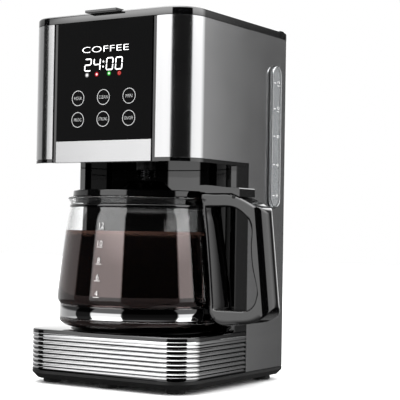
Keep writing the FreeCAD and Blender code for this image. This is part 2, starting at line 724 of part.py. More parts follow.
def mesh_filter():
    """The reusable cone filter: a frame ring, four ribs and a thin mesh wall, open at the top."""
    top = BASKET_TOP - 4.0
    low = 231.0
    ring_top = turned([(44.0, top - 3), (48.6, top - 3), (48.6, top), (44.0, top)])
    outside = [(0, low), (24.6, low), (45.2, top - 2.5)]
    wall = turned(outside + [(44.6, top - 2.5), (24.0, low + 0.6), (0, low + 0.6)])
    floor_ring = turned([(23.0, low - 1), (26.5, low - 1), (26.5, low + 2), (23.0, low + 2)])
    cone = turned([(24.4, low), (26.2, low), (47.0, top - 1), (45.0, top - 1)])
    pieces = [ring_top, wall, floor_ring]
    for number in range(4):
        rib = box(20.0, 50.0, CARAFE_Y - 1.2, CARAFE_Y + 1.2, low, top - 1).common(cone)
        rib.rotate(Vector(0, CARAFE_Y, 0), Vector(0, 0, 1), number * 90 + 45)
        pieces.append(rib)
    return fused(pieces)


def filter_grip():
    """The small finger grip that stands on the filter's ring."""
    return box(-7, 7, CARAFE_Y - 48.0, CARAFE_Y - 45.0, BASKET_TOP - 3.95, BASKET_TOP + 2.0)


def drip_stem():
    """The drip stop's stem, with the seal plate that closes the nozzle from above."""
    stem = rod(0, CARAFE_Y, STEM_TIP_Z + 1.2, 220.5, 1.8)
    z = STEM_TIP_Z
    foot = turned([(0, z), (2.4, z), (3.4, z + 0.8), (3.4, z + 2.2), (0, z + 2.2)])
    plate = rod(0, CARAFE_Y, 219.4, 221.0, 6.0)
    return fused([stem, foot, plate])


def drip_seal():
    """The silicone washer under the stem's plate."""
    return pipe(0, CARAFE_Y, 217.35, 219.35, 8.4, 1.85)


def drip_spring():
    """The return spring round the stem, between the stem's foot and the spider in the nozzle."""
    mean, wire, length = 4.4, 0.4, 17.4
    corners = []
    for number in range(9):
        angle = math.radians(45 * number + 22.5)
        corners.append(Vector(mean + wire * math.cos(angle), 0, wire * math.sin(angle)))
    helix = Part.Wire(Part.makeLongHelix(2.1, length, mean).Edges)
    coil = helix.makePipeShell([Part.makePolygon(corners)], True, True)
    coil.translate(Vector(0, CARAFE_Y, SPIDER_Z - wire - 0.05 - length))
    return coil


# ---------------------------------------------------------------- lid of the machine


def lid():
    """The top lid: a shallow shell whose rounded rear edge is the moving half of a barrel hinge."""
    shell = slab(0.1, LID_Z, HEIGHT)
    shell = shell.makeFillet(2.0, [e for e in shell.Edges if abs(e.BoundBox.ZMin - HEIGHT) < 1e-6])
    hollow = slab(2.4, LID_Z - 1, HEIGHT - 2.2).common(ahead_of(LID_PIN_Y - 5.5))
    shell = shell.common(ahead_of(LID_PIN_Y)).cut(hollow)
    barrel = bar_x(-SIDE_X + 0.1, SIDE_X - 0.1, LID_PIN_Y, LID_PIN_Z, BARREL_R)
    body = fused([shell, barrel])
    for x0, x1 in STRIP_KNUCKLES:
        y0, y1 = LID_PIN_Y - BARREL_R - 0.5, LID_PIN_Y + 5
        body = body.cut(box(x0 - 0.3, x1 + 0.3, y0, y1, LID_Z - 1, HEIGHT + 1))
    return body.cut(bar_x(-78.5, 78.5, LID_PIN_Y, LID_PIN_Z, LID_PIN_R))


def lid_tab():
    """The lip at the front of the lid that a finger lifts: a blade ahead of it, with a foot on its top."""
    lip = box(-17, 18, FRONT_Y - 7, FRONT_Y + 0.08, HEIGHT - 1.2, HEIGHT + 1.3)
    ahead = [e for e in lip.Edges if e.BoundBox.YMax < FRONT_Y - 6.9 and e.BoundBox.XLength > 1]
    lip = lip.makeFillet(0.8, ahead)
    foot = box(-17, 18, FRONT_Y, FRONT_Y + 5, HEIGHT - 2.0, HEIGHT + 1.3)
    lid_form = slab(0.08, LID_Z, HEIGHT + 0.02)
    lid_form = lid_form.makeFillet(2.0, [e for e in lid_form.Edges if e.BoundBox.ZMin > HEIGHT])
    return fused([lip, foot]).cut(lid_form)


def lid_liner():
    """The inner skin of the lid: the water channel from the riser to the shower dish over the basket."""
    top = HEIGHT - 2.25
    plate = slab(6.0, HEIGHT - 4.2, top).common(ahead_of(LID_PIN_Y - 10))
    dish = rod(0, CARAFE_Y, 328.4, top, 32.0).cut(rod(0, CARAFE_Y, 330.4, top - 1.8, 30.0))
    channel = box(-7, 7, CARAFE_Y + 20, RISER_TOP_Y, 330.2, top)
    channel = channel.fuse(rod(0, RISER_TOP_Y, 330.2, top, 7.0))
    hollow = box(-5, 5, CARAFE_Y + 20, RISER_TOP_Y, 332.0, top - 1.8)
    hollow = hollow.fuse(rod(0, RISER_TOP_Y, 329, top - 1.8, 4.0))
    liner = fused([plate, dish, channel]).cut(hollow).cut(rod(0, CARAFE_Y, 330.4, top - 1.8, 30.0))
    rings = ((10, 20.0), (5, 9.0))
    for count, radius in rings:
        for number in range(count):
            angle = 2 * math.pi * number / count
            x, y = radius * math.cos(angle), radius * math.sin(angle)
            liner = liner.cut(rod(x, CARAFE_Y + y, 320, 331, 1.6))
    return liner


def rear_strip():
    """The fixed strip across the back of the head, with the fixed knuckles of the lid's hinge."""
    body = slab(0.1, LID_Z, HEIGHT)
    body = body.makeFillet(2.0, [e for e in body.Edges if abs(e.BoundBox.ZMin - HEIGHT) < 1e-6])
    body = body.common(behind(STRIP_Y))
    for x0, x1 in STRIP_KNUCKLES:
        arm = box(x0, x1, LID_PIN_Y, STRIP_Y + 1, LID_PIN_Z - BARREL_R + 0.1, LID_PIN_Z + BARREL_R - 0.1)
        body = fused([body, arm, bar_x(x0, x1, LID_PIN_Y, LID_PIN_Z, BARREL_R - 0.1)])
    return body.cut(bar_x(-100, 100, LID_PIN_Y, LID_PIN_Z, LID_PIN_R))


def lid_hinge_pin():
    """The steel pin of the lid's hinge."""
    return bar_x(-78, 78, LID_PIN_Y, LID_PIN_Z, LID_PIN_R - RUNNING)


# ---------------------------------------------------------------- carafe

# Outer face of the glass, as (radius, height) from the foot to the rim
GLASS_Z0 = PLATE_TOP + 0.2
GLASS_FOOT = [(62.0, GLASS_Z0), (71.5, 54.0), (77.0, 56.4), (79.6, 60.0)]
GLASS_GROOVE = [(78.2, 62.2), (78.2, 74.2)]
GLASS_BODY = [(81.4, 80.6), (79.6, 98.0), (77.2, 120.0), (74.6, 142.3), (73.1, 153.1), (71.0, 160.8)]
GLASS_NECK = [(70.4, 164.0), (70.4, 167.5), (71.8, 170.0), (73.0, 172.0), (72.6, 174.0)]
BAND_Z0 = 62.4
BAND_Z1 = 74.0


def carafe_glass():
    """The blown glass body: a wide, slightly tapered bowl with a groove for the band and a rolled rim."""
    inner_wall = [(r - GLASS_WALL, z) for r, z in reversed(GLASS_BODY[1:])]
    inner_neck = [(70.0, 174.0), (67.8, 167.5), (67.7, 164.0)]
    low = [(75.6, 74.5), (75.6, 60.0), (73.0, 57.4), (62.0, GLASS_Z0 + 3.2), (0, GLASS_Z0 + 3.2)]
    pieces = [[(0, GLASS_Z0), (62.0, GLASS_Z0)], GLASS_FOOT, GLASS_GROOVE, GLASS_BODY, GLASS_NECK]
    pieces += [inner_neck, inner_wall]
    pieces += [[a, b] for a, b in zip(low, low[1:])]
    return face_of(pieces, CARAFE_Y).revolve(Vector(0, CARAFE_Y, 0), Vector(0, 0, 1), 360)


def carafe_band():
    """The bright clamp band round the foot of the glass."""
    return turned([(78.3, BAND_Z0), (79.3, BAND_Z0), (79.3, BAND_Z1), (78.3, BAND_Z1)])


def neck_band():
    """The narrow strap round the neck that the top of the handle hooks under."""
    return turned([(70.5, 164.2), (71.3, 164.2), (71.3, 166.6), (70.5, 166.6)])


# Side view of the handle, as (x, height): its outside, and the finger opening
HANDLE_OUTER = [
    [(66.0, 66.0), (66.0, 178.0)],
    [(66.0, 178.0), (99.0, 178.0)],
    [(99.0, 178.0), (107.5, 175.6), (116.0, 172.0), (125.0, 167.2), (134.8, 161.0)],
    [(134.8, 161.0), (143.0, 82.0)],
    [(143.0, 82.0), (142.0, 74.6), (136.6, 68.0), (125.8, 62.8), (110.0, 60.4)],
    [(110.0, 60.4), (92.9, 59.4)],
    [(92.9, 59.4), (84.0, 66.0)],
]
HANDLE_LOOP = [
    [(85.8, 73.2), (79.2, 142.0)],
    [(79.2, 142.0), (76.2, 165.8)],
    [(76.2, 165.8), (100.0, 165.8)],
    [(100.0, 165.8), (108.5, 164.0), (116.4, 159.2), (121.8, 152.5), (124.2, 143.8),
     (123.4, 130.0), (125.4, 112.0), (130.2, 94.0), (128.6, 81.0), (119.0, 73.4)],
    [(119.0, 73.4), (85.8, 73.2)],
]
# Side view of the lever on the carafe's lid, as (x, height)
LEVER = [
    [(59.6, 182.5), (59.8, 183.8)],
    [(59.8, 183.8), (64.5, 185.0), (75.9, 185.6), (83.1, 185.1), (90.2, 184.3), (99.6, 183.4),
     (110.8, 183.0)],
    [(111.6, 182.2), (111.6, 175.1)],
    [(107.4, 176.9), (103.4, 178.3)],
    [(103.4, 178.3), (76.0, 178.3)],
    [(72.6, 180.4), (71.0, 182.3)],
]
# The grip's outer face: how far the half-round falls back from its crest to the two cheeks
GRIP_FALL = 9.5


def grip_form():
    """A long half-round bar that leans with the handle's outer face and gives the grip its back."""
    top = Vector(134.8, CARAFE_Y, 161.0)
    bottom = Vector(143.0, CARAFE_Y, 82.0)
    along = (bottom - top).normalize()
    out = Vector(-along.z, 0, along.x)
    across = HANDLE_HALF + 0.05
    start = top - along * 200
    curve = []
    for number in range(13):
        angle = math.pi * number / 12
        fall = GRIP_FALL * (1 - math.sin(angle))
        curve.append(start - out * fall + Vector(0, -across * math.cos(angle), 0))
    back = Part.BSplineCurve()
    back.interpolate(curve)
    corners = [curve[-1], curve[-1] - out * 150, curve[0] - out * 150, curve[0]]
    edges = [back.toShape()] + [Part.LineSegment(a, b).toShape() for a, b in zip(corners, corners[1:])]
    return Part.Face(Part.Wire(edges)).extrude(along * 450)


def glass_envelope():
    """The carafe's outer form with a little clearance, up past the lid: what the handle is hollowed by."""
    points = [(0, 40.0), (60.0, 40.0)] + GLASS_FOOT + [(80.0, BAND_Z0), (80.0, BAND_Z1)] + GLASS_BODY
    points += [(71.6, 163.0), (71.6, 168.0), (72.4, 170.0), (73.2, 172.0)]
    points += [(72.8, 174.0), (71.2, 176.0), (71.2, 200.0)]
    return turned([(r + 0.25 if r else 0.0, z) for r, z in points] + [(0, 200.0)])


def handle():
    """The handle: a closed loop that hugs the glass, with a rounded grip and a slot for the lid's hinge."""
    y0, y1 = CARAFE_Y - HANDLE_HALF, CARAFE_Y + HANDLE_HALF
    body = plate_of(HANDLE_OUTER, y0, y1)
    body = body.common(grip_form())
    body = body.cut(plate_of(HANDLE_LOOP, y0 - 1, y1 + 1)).cut(glass_envelope())
    body = body.cut(box(HINGE_X - 5.0, HINGE_X + 5.0, CARAFE_Y - 6.3, CARAFE_Y + 6.3, HINGE_Z - 4.6, 200))
    body = body.cut(bar_y(HINGE_X, y0 - 1, y1 + 1, HINGE_Z, LEVER_PIN_R + RUNNING))
    return body.cut(bar_x(79.0, 111.0, CARAFE_Y, 67.0, 3.4))


def handle_screw():
    """The screw that pulls the handle's foot onto the clamp band."""
    return fused([bar_x(96.0, 98.4, CARAFE_Y, 67.0, 3.1), bar_x(80.4, 96.5, CARAFE_Y, 67.0, 1.6)])


def carafe_lid():
    """The carafe's lid: a plug, a flange, a raised drip dome, and the arm back to its hinge."""
    rim = [(LID_RADIUS, 174.4), (LID_RADIUS, LID_TOP - 1), (LID_RADIUS - 1, LID_TOP)]
    flange = turned([(0, 176.4), (66.0, 176.4), (66.0, 174.4)] + rim + [(0, LID_TOP)])
    skirt = pipe(0, CARAFE_Y, 168.0, 177.0, 66.0, 64.0)
    slope = [(DOME_BASE_R, 179.0), (DOME_BASE_R - 1, LID_TOP + 1), (DOME_TOP_R, DOME_TOP - 0.8)]
    dome = turned([(0, 179.0)] + slope + [(DOME_TOP_R - 1, DOME_TOP), (0, DOME_TOP)])
    inside = DOME_TOP - 2.4
    hollow = turned([(0, 175.0), (DOME_BASE_R - 3, 175.0), (DOME_TOP_R - 2, inside), (0, inside)])
    arm = plate_of(LEVER, CARAFE_Y - HANDLE_HALF, CARAFE_Y + HANDLE_HALF)
    neck = box(46.0, 76.0, CARAFE_Y - 10.0, CARAFE_Y + 10.0, 179.5, 183.0)
    knuckle = bar_y(HINGE_X, CARAFE_Y - 6.0, CARAFE_Y + 6.0, HINGE_Z, 4.0)
    web = box(HINGE_X - 4.0, HINGE_X + 4.0, CARAFE_Y - 6.0, CARAFE_Y + 6.0, HINGE_Z, 180)
    body = fused([flange, skirt, dome]).cut(hollow)
    body = fused([body, arm, neck, knuckle, web])
    for number in range(6):
        angle = math.radians(60 * number)
        body = body.cut(rod(10 * math.cos(angle), CARAFE_Y + 10 * math.sin(angle), 180, 195, 1.7))
    return body.cut(bar_y(HINGE_X, CARAFE_Y - 20, CARAFE_Y + 20, HINGE_Z, LEVER_PIN_R + RUNNING))


def carafe_lid_pin():
    """The pin of the carafe lid's hinge, through both cheeks of the handle."""
    return bar_y(HINGE_X, CARAFE_Y - HANDLE_HALF - 0.3, CARAFE_Y + HANDLE_HALF + 0.3, HINGE_Z, LEVER_PIN_R)


NODES = {
    "base_tray": base_tray,
    "feet": feet,
    "base_band": base_band,
    "base_deck": base_deck,
    "warming_plate": warming_plate,
    "plate_gasket": plate_gasket,
    "heater": heater,
    "heater_bracket": heater_bracket,
    "bracket_screw": bracket_screw,
    "thermostat": thermostat,
    "thermal_fuses": thermal_fuses,
    "power_board": power_board,
    "power_relay": power_relay,
    "board_standoffs": board_standoffs,
    "tray_screws": tray_screws,
    "column": column,
    "head_frame": head_frame,
    "left_sheet": left_sheet,
    "right_sheet": right_sheet,
    "rear_cover": rear_cover,
    "cover_screws": cover_screws,
    "cord_gland": cord_gland,
    "control_panel": control_panel,
    "trim_bar": trim_bar,
    "panel_bezel": panel_bezel,
    "control_board": control_board,
    "display": display,
    "indicator_lamps": indicator_lamps,
    "touch_springs": touch_springs,
    "water_tank": water_tank,
    "gauge_gasket": gauge_gasket,
    "gauge_window": gauge_window,
    "gauge_scale": gauge_scale,
    "check_valve": check_valve,
    "valve_ball": valve_ball,
    "inlet_hose": inlet_hose,
    "outlet_hose": outlet_hose,
    "hose_clips": hose_clips,
    "riser_tube": riser_tube,
    "riser_grommet": riser_grommet,
    "riser_cup": riser_cup,
    "brew_chamber": brew_chamber,
    "filter_basket": filter_basket,
    "mesh_filter": mesh_filter,
    "filter_grip": filter_grip,
    "drip_stem": drip_stem,
    "drip_seal": drip_seal,
    "drip_spring": drip_spring,
    "lid": lid,
    "lid_tab": lid_tab,
    "lid_liner": lid_liner,
    "rear_strip": rear_strip,
    "lid_hinge_pin": lid_hinge_pin,
    "carafe_glass": carafe_glass,
    "carafe_band": carafe_band,
    "neck_band": neck_band,
    "handle": handle,
    "handle_screw": handle_screw,
    "carafe_lid": carafe_lid,
    "carafe_lid_pin": carafe_lid_pin,
}


def main():
    """Builds every piece and writes each to its own file."""
    os.makedirs("parts", exist_ok=True)
    for name, make in NODES.items():
        shape = make()
        faulty = [s for s in shape.Solids if not s.isValid() or s.Volume <= 0]
        state = "FAULTY" if faulty or not shape.Solids else ""
        print(name, len(shape.Solids), "solids", round(shape.Volume, 1), state)
        shape.exportStep("parts/" + name + ".step")


main()
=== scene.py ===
import json
import math

import bmesh
import bpy
import numpy as np
from mathutils import Matrix, Vector


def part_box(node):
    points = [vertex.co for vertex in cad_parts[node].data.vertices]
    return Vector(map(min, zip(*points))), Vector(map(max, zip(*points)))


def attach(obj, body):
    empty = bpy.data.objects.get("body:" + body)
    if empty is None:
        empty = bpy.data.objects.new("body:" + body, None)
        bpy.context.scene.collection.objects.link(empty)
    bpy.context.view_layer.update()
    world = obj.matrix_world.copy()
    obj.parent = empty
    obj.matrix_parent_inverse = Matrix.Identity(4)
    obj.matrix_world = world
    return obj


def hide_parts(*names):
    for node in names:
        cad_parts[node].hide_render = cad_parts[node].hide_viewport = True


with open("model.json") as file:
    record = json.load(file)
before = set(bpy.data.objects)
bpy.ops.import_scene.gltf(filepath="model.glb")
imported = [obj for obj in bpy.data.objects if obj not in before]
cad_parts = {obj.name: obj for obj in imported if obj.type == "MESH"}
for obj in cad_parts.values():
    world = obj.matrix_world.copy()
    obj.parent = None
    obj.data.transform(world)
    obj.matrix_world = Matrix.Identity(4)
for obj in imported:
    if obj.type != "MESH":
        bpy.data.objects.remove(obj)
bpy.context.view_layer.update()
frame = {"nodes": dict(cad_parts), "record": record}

bl_info = {
    "name": "Drip Coffee Maker",
    "version": (1, 0, 0),
    "blender": (4, 5, 0),
    "location": "3D View > Sidebar > Coffee",
    "description": "Casing, panel, carafe and finishes of a drip coffee maker, with a small studio round it",
    "category": "Add Mesh",
}

MM = 0.001

# Levels and half sizes taken from the frame, in metres
BAND_LOW, BAND_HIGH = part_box("base_band")
DECK_LOW, DECK_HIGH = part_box("base_deck")
SHEET_LOW, SHEET_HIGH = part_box("right_sheet")
PANEL_LOW, PANEL_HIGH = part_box("control_panel")
TRIM_LOW, TRIM_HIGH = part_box("trim_bar")
STRIP_LOW, STRIP_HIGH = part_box("rear_strip")
TAB_LOW, TAB_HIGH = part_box("lid_tab")
COLUMN_LOW, COLUMN_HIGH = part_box("column")
PLATE_LOW, PLATE_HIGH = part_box("warming_plate")
SIDE_X = BAND_HIGH.x
FRONT_Y = BAND_LOW.y
SEAM_Y = 14.0 * MM
BACK_Y = STRIP_HIGH.y + 0.1 * MM
CARAFE_Y = (PLATE_LOW.y + PLATE_HIGH.y) / 2
CHANNEL_X = SHEET_LOW.x
HINGE_Y = 76.9 * MM
HINGE_Z = 337.2 * MM
MIRROR_X = np.array([-1.0, 1.0])
HINGE_PIECES = ((-70.0, -50.0), (-10.0, 10.0), (50.0, 70.0))

# Carafe glass: outer face and inner face as (radius, height) in millimetres
GLASS_OUTER = np.array([
    (0.0, 52.8), (40.0, 52.8), (61.5, 52.8), (66.0, 53.0), (71.0, 53.8), (75.0, 55.2), (77.6, 57.0), (79.0, 58.8),
    (79.4, 60.4), (78.9, 61.6), (78.3, 62.4), (78.2, 66.0), (78.2, 73.0), (78.8, 74.6), (80.3, 76.4), (81.2, 78.6),
    (81.35, 80.8), (81.1, 84.0), (80.3, 92.0), (79.4, 100.0), (78.4, 110.0), (77.3, 120.0), (76.1, 130.0),
    (74.9, 140.0), (73.9, 147.5), (73.2, 152.6), (72.6, 156.5), (71.6, 160.4), (70.7, 162.8), (70.2, 165.2),
    (70.3, 167.4), (70.9, 169.2), (72.0, 170.8), (72.9, 172.2), (72.95, 173.2), (72.4, 173.9), (71.5, 173.9),
])
GLASS_INNER = np.array([
    (70.9, 173.2), (70.3, 171.6), (69.2, 169.8), (68.5, 167.8), (68.2, 165.2), (68.6, 162.6), (69.5, 160.0),
    (70.5, 156.2), (71.1, 152.4), (71.8, 147.4), (72.8, 140.0), (74.0, 130.0), (75.2, 120.0), (76.3, 110.0),
    (77.3, 100.0), (78.2, 92.0), (79.0, 84.0), (79.1, 80.8), (78.6, 78.8), (77.2, 76.4), (76.1, 74.4), (75.9, 72.0),
    (75.9, 64.0), (76.0, 61.0), (75.2, 59.0), (73.0, 57.2), (69.0, 56.0), (60.0, 55.6), (30.0, 56.6), (0.0, 57.0),
])
CUP_MARKS = ((12, 144.6), (10, 128.4), (8, 113.2), (6, 98.2), (4, 83.6))
GAUGE_MARKS = ((4, 179.0), (6, 209.0), (8, 236.5), (10, 263.0), (12, 288.0))
KEYS = (
    ("HOUR", -28.4, 263.4), ("CLEAN", 0.3, 263.4), ("MIN", 28.8, 263.4),
    ("PROG", -28.4, 243.6), ("STRONG", 0.3, 243.6), ("ON/OFF", 28.8, 243.6),
)

# Handle from the side, as (x, height) in millimetres: the points of the outside and the opening are in pairs
HANDLE_OUTSIDE = np.array([
    (71.4, 172.0), (71.4, 178.0), (86.0, 178.0), (99.0, 178.0), (107.5, 175.6), (116.0, 172.0), (125.0, 167.2),
    (134.8, 161.0), (137.6, 134.0), (140.4, 107.0), (143.0, 82.0), (142.2, 74.6), (136.6, 68.0), (125.8, 62.8),
    (110.0, 60.4), (92.9, 59.4), (81.5, 67.4), (80.0, 76.0), (79.6, 100.0), (77.0, 125.0), (74.0, 150.0),
    (71.6, 164.0),
])
CREST_TOP, CREST_BOTTOM = 7, 10  # the grip's straight crest runs between these two points of the outside
HANDLE_OPENING = np.array([
    (76.4, 164.6), (77.4, 165.7), (88.0, 165.8), (100.0, 165.8), (108.5, 164.0), (116.4, 159.2), (121.8, 152.5),
    (124.2, 143.8), (123.4, 130.0), (125.4, 112.0), (130.2, 94.0), (129.6, 85.6), (126.6, 78.4), (119.0, 73.6),
    (104.0, 73.0), (92.0, 73.0), (86.2, 74.0), (85.4, 80.0), (83.6, 100.0), (81.2, 125.0), (78.4, 150.0),
    (76.8, 160.0),
])
LEVER_SIDE = np.array([
    (59.6, 182.5), (59.8, 183.8), (64.5, 185.0), (70.0, 185.5), (75.9, 185.6), (83.1, 185.1), (90.2, 184.3),
    (99.6, 183.4), (106.0, 183.1), (110.8, 183.0), (111.6, 182.2), (111.6, 175.1), (107.4, 176.9), (103.4, 178.3),
    (76.0, 178.3), (72.6, 180.4), (71.0, 182.3),
])


# ---------------------------------------------------------------- shapes


def footprint_half(first_y, end_y, radius, sign, arc_points):
    """Outline of the casing's footprint from (sign * side, first_y) round two corners at end_y to the other side.

    Returns the points and their outward normals. A corner is centre + radius * sign * (cos t, -sin t)."""
    turn = np.linspace(0.0, math.pi / 2, arc_points)
    normal = sign * np.stack([np.cos(turn), -np.sin(turn)], 1)
    corner = np.array([sign * (SIDE_X - radius), end_y + sign * radius]) + radius * normal
    half = np.vstack([[sign * SIDE_X, first_y], corner])
    half_normal = np.vstack([[sign, 0.0], normal])
    return np.vstack([half, half[::-1] * MIRROR_X]), np.vstack([half_normal, half_normal[::-1] * MIRROR_X])


def rounded_outline(first_y):
    """The front half of the footprint, from the machine's right round to its left."""
    return footprint_half(first_y, FRONT_Y, bpy.context.scene.coffee_casing.front_radius, 1.0, 28)


def back_outline(first_y):
    """The back half of the footprint, from the machine's left round to its right."""
    return footprint_half(first_y, BACK_Y, bpy.context.scene.coffee_casing.back_radius, -1.0, 14)


def carried_round(outline, profile):
    """Profile rows of (inset, height) carried along an outline: point = outline - inset * normal, at height."""
    base, normal = outline
    inset, height = profile[:, 0, None, None], profile[:, 1]
    flat = base[None] - inset * normal[None]
    return np.dstack([flat, np.repeat(height[:, None], len(base), 1)])


def full_turn(count):
    """Evenly spaced angles of a full turn."""
    return np.linspace(0.0, 2 * math.pi, count, endpoint=False)


def turned(profile, segments=160, centre=(0.0, CARAFE_Y)):
    """Surface of revolution: point = (centre + r cos t, centre + r sin t, z) for profile rows (r, z)."""
    turn = full_turn(segments)
    r, z = profile[:, 0, None], profile[:, 1, None]
    return np.dstack([centre[0] + r * np.cos(turn), centre[1] + r * np.sin(turn), z + 0 * turn])


def smooth_loop(points, steps):
    """Points of a closed polyline resampled by cubic (Catmull-Rom) pieces, steps to each piece."""
    n = len(points)
    t = np.linspace(0.0, 1.0, steps, endpoint=False)[None, :, None]
    p0, p1, p2, p3 = (np.roll(points, k, 0)[:, None] for k in (1, 0, -1, -2))
    square = 2 * p0 - 5 * p1 + 4 * p2 - p3
    cube = 3 * p1 - p0 - 3 * p2 + p3
    curve = 0.5 * (2 * p1 + (p2 - p0) * t + square * t**2 + cube * t**3)
    return curve.reshape(n * steps, -1)


def stadium(half, low, high, points=24):
    """Upright slot outline as (y, z): a half circle over and one under two straight sides."""
    turn = np.linspace(0.0, math.pi, points)
    top = np.stack([half * np.cos(turn), high - half + half * np.sin(turn)], 1)
    low_end = np.stack([-half * np.cos(turn), low + half - half * np.sin(turn)], 1)
    return np.vstack([top, low_end])


def mesh_piece(name, vertices, faces, sharp=30.0):
    """A mesh object with closed seams, outward faces, and smooth shading up to the sharp angle."""
    mesh = bpy.data.meshes.new(name)
    mesh.from_pydata(np.asarray(vertices, float).reshape(-1, 3).tolist(), [], faces)
    work = bmesh.new()
    work.from_mesh(mesh)
    bmesh.ops.remove_doubles(work, verts=work.verts, dist=1e-7)
    bmesh.ops.recalc_face_normals(work, faces=work.faces)
    work.to_mesh(mesh)
    work.free()
    mesh.shade_smooth()
    mesh.set_sharp_from_angle(angle=math.radians(sharp))
    piece = bpy.data.objects.new(name, mesh)
    bpy.context.scene.collection.objects.link(piece)
    return piece


def grid_faces(rows, columns, close_rows, close_columns):
    """Four-sided faces between neighbours of a rows x columns grid, joined round where a direction is closed."""
    i = np.arange(rows if close_rows else rows - 1)[:, None]
    j = np.arange(columns if close_columns else columns - 1)[None]
    ni, nj = (i + 1) % rows, (j + 1) % columns
    corners = np.stack([i * columns + j, i * columns + nj, ni * columns + nj, ni * columns + j], -1)
    return corners.reshape(-1, 4).tolist()


def grid_piece(name, points, close_rows=False, close_columns=True, cap="", sharp=30.0):
    """A surface from a grid of points. cap "columns" or "rows" fills the first and the last of them."""
    rows, columns = points.shape[:2]
    faces = grid_faces(rows, columns, close_rows, close_columns)
    if cap == "columns":
        faces += [(np.arange(rows) * columns).tolist(), (np.arange(rows) * columns + columns - 1).tolist()]
    if cap == "rows":
        faces += [np.arange(columns).tolist(), (np.arange(columns) + (rows - 1) * columns).tolist()]
    return mesh_piece(name, points, faces, sharp)


def slab_piece(name, outline, low, high, axis="z", edge=0.4, sharp=35.0):
    """A flat outline given thickness along an axis, its edges rounded by a Bevel modifier of edge millimetres."""
    outline = np.asarray(outline, float)
    level = np.array([low, high])[:, None] + np.zeros(len(outline))
    u, v = (np.repeat(outline[None, :, k], 2, 0) for k in (0, 1))
    order = {"z": (u, v, level), "y": (u, level, v), "x": (level, u, v)}[axis]
    piece = grid_piece(name, np.dstack(order), cap="rows", sharp=sharp)
    if edge:
        bevel = piece.modifiers.new("edges", "BEVEL")
        bevel.width = edge * MM
        bevel.segments = 3
        bevel.limit_method = "ANGLE"
        bevel.angle_limit = math.radians(35.0)
        bevel.harden_normals = True
    return piece


def vertex_places(mesh):
    """The coordinates of a mesh's vertices, as rows."""
    places = np.empty(len(mesh.vertices) * 3)
    mesh.vertices.foreach_get("co", places)
    return places.reshape(-1, 3)


def joined(name, pieces):
    """Several mesh objects as one: their vertices and faces put one after another."""
    vertices, faces, start = [], [], 0
    for piece in pieces:
        vertices.append(vertex_places(piece.data))
        faces += [[start + k for k in polygon.vertices] for polygon in piece.data.polygons]
        start += len(piece.data.vertices)
        bpy.data.objects.remove(piece, do_unlink=True)
    return mesh_piece(name, np.vstack(vertices), faces)


def lettering(name, words, width, height, place, thickness=0.05):
    """Words as a mesh: flat letters fitted to a width and a height in millimetres, then laid on a surface.

    A width of None keeps the letters' own proportions. place(x, y, lift) gives the points on the surface."""
    curve = bpy.data.curves.new(name, "FONT")
    curve.body = words
    curve.offset = -0.016
    curve.extrude = 0.5
    curve.resolution_u = 3
    holder = bpy.data.objects.new(name, curve)
    bpy.context.scene.collection.objects.link(holder)
    mesh = bpy.data.meshes.new_from_object(holder.evaluated_get(bpy.context.evaluated_depsgraph_get()))
    bpy.data.objects.remove(holder, do_unlink=True)
    flat = vertex_places(mesh)
    faces = [list(p.vertices) for p in mesh.polygons]
    bpy.data.meshes.remove(mesh)
    low, high = flat.min(0), flat.max(0)
    tall = height / (high[1] - low[1])
    wide = tall if width is None else width / (high[0] - low[0])
    middle = (low + high) / 2
    x, y = (flat[:, 0] - middle[0]) * wide * MM, (flat[:, 1] - middle[1]) * tall * MM
    return mesh_piece(name, place(x, y, (flat[:, 2] + 0.5) * thickness * MM), faces)


def settled(piece, body, material, replaces=()):
    """Gives a piece its material, the body it moves with and the frame nodes it stands for."""
    piece.data.materials.clear()
    piece.data.materials.append(material)
    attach(piece, body)
    if replaces:
        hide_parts(*replaces)
    return piece


# ---------------------------------------------------------------- finishes


def node_group(name, inputs, outputs):
    """An empty shader node group with float inputs (name: default) and float outputs."""
    group = bpy.data.node_groups.new(name, "ShaderNodeTree")
    for label, value in inputs.items():
        socket = group.interface.new_socket(label, in_out="INPUT", socket_type="NodeSocketFloat")
        socket.default_value = value
    for label in outputs:
        group.interface.new_socket(label, in_out="OUTPUT", socket_type="NodeSocketFloat")
    return group, group.nodes.new("NodeGroupInput"), group.nodes.new("NodeGroupOutput")


def math_node(tree, operation, a, b=None):
    """A Math node fed by sockets or numbers; returns its output."""
    node = tree.nodes.new("ShaderNodeMath")
    node.operation = operation
    for socket, value in zip(node.inputs, (a, b)):
        if value is None:
            continue
        if isinstance(value, bpy.types.NodeSocket):
            tree.links.new(value, socket)
        else:
            socket.default_value = value
    return node.outputs[0]


def object_position(tree):
    """Object coordinates of the surface, in metres."""
    return tree.nodes.new("ShaderNodeTexCoord").outputs["Object"]


def pattern(tree, kind, scale, vector=None, **settings):
    """A texture node of a kind, scaled by a socket and laid out over the object."""
    node = tree.nodes.new(kind)
    for label, value in settings.items():
        node.inputs[label].default_value = value
    tree.links.new(vector or object_position(tree), node.inputs["Vector"])
    tree.links.new(scale, node.inputs["Scale"])
    return node


def colour_mix(tree, factor, a, b):
    """A colour between a and b, each a socket or three numbers; returns the output."""
    node = tree.nodes.new("ShaderNodeMix")
    node.data_type = "RGBA"
    tree.links.new(factor, node.inputs["Factor"])
    for label, value in (("A", a), ("B", b)):
        if isinstance(value, bpy.types.NodeSocket):
            tree.links.new(value, node.inputs[label])
        else:
            node.inputs[label].default_value = (*value, 1.0)
    return node.outputs["Result"]


def smooth_step(tree, value, start_end, results=(0.0, 1.0)):
    """A smooth step of a value from one result to another."""
    node = tree.nodes.new("ShaderNodeMapRange")
    node.interpolation_type = "SMOOTHSTEP"
    node.inputs["From Min"].default_value, node.inputs["From Max"].default_value = start_end
    node.inputs["To Min"].default_value, node.inputs["To Max"].default_value = results
    tree.links.new(value, node.inputs["Value"])
    return node.outputs[0]


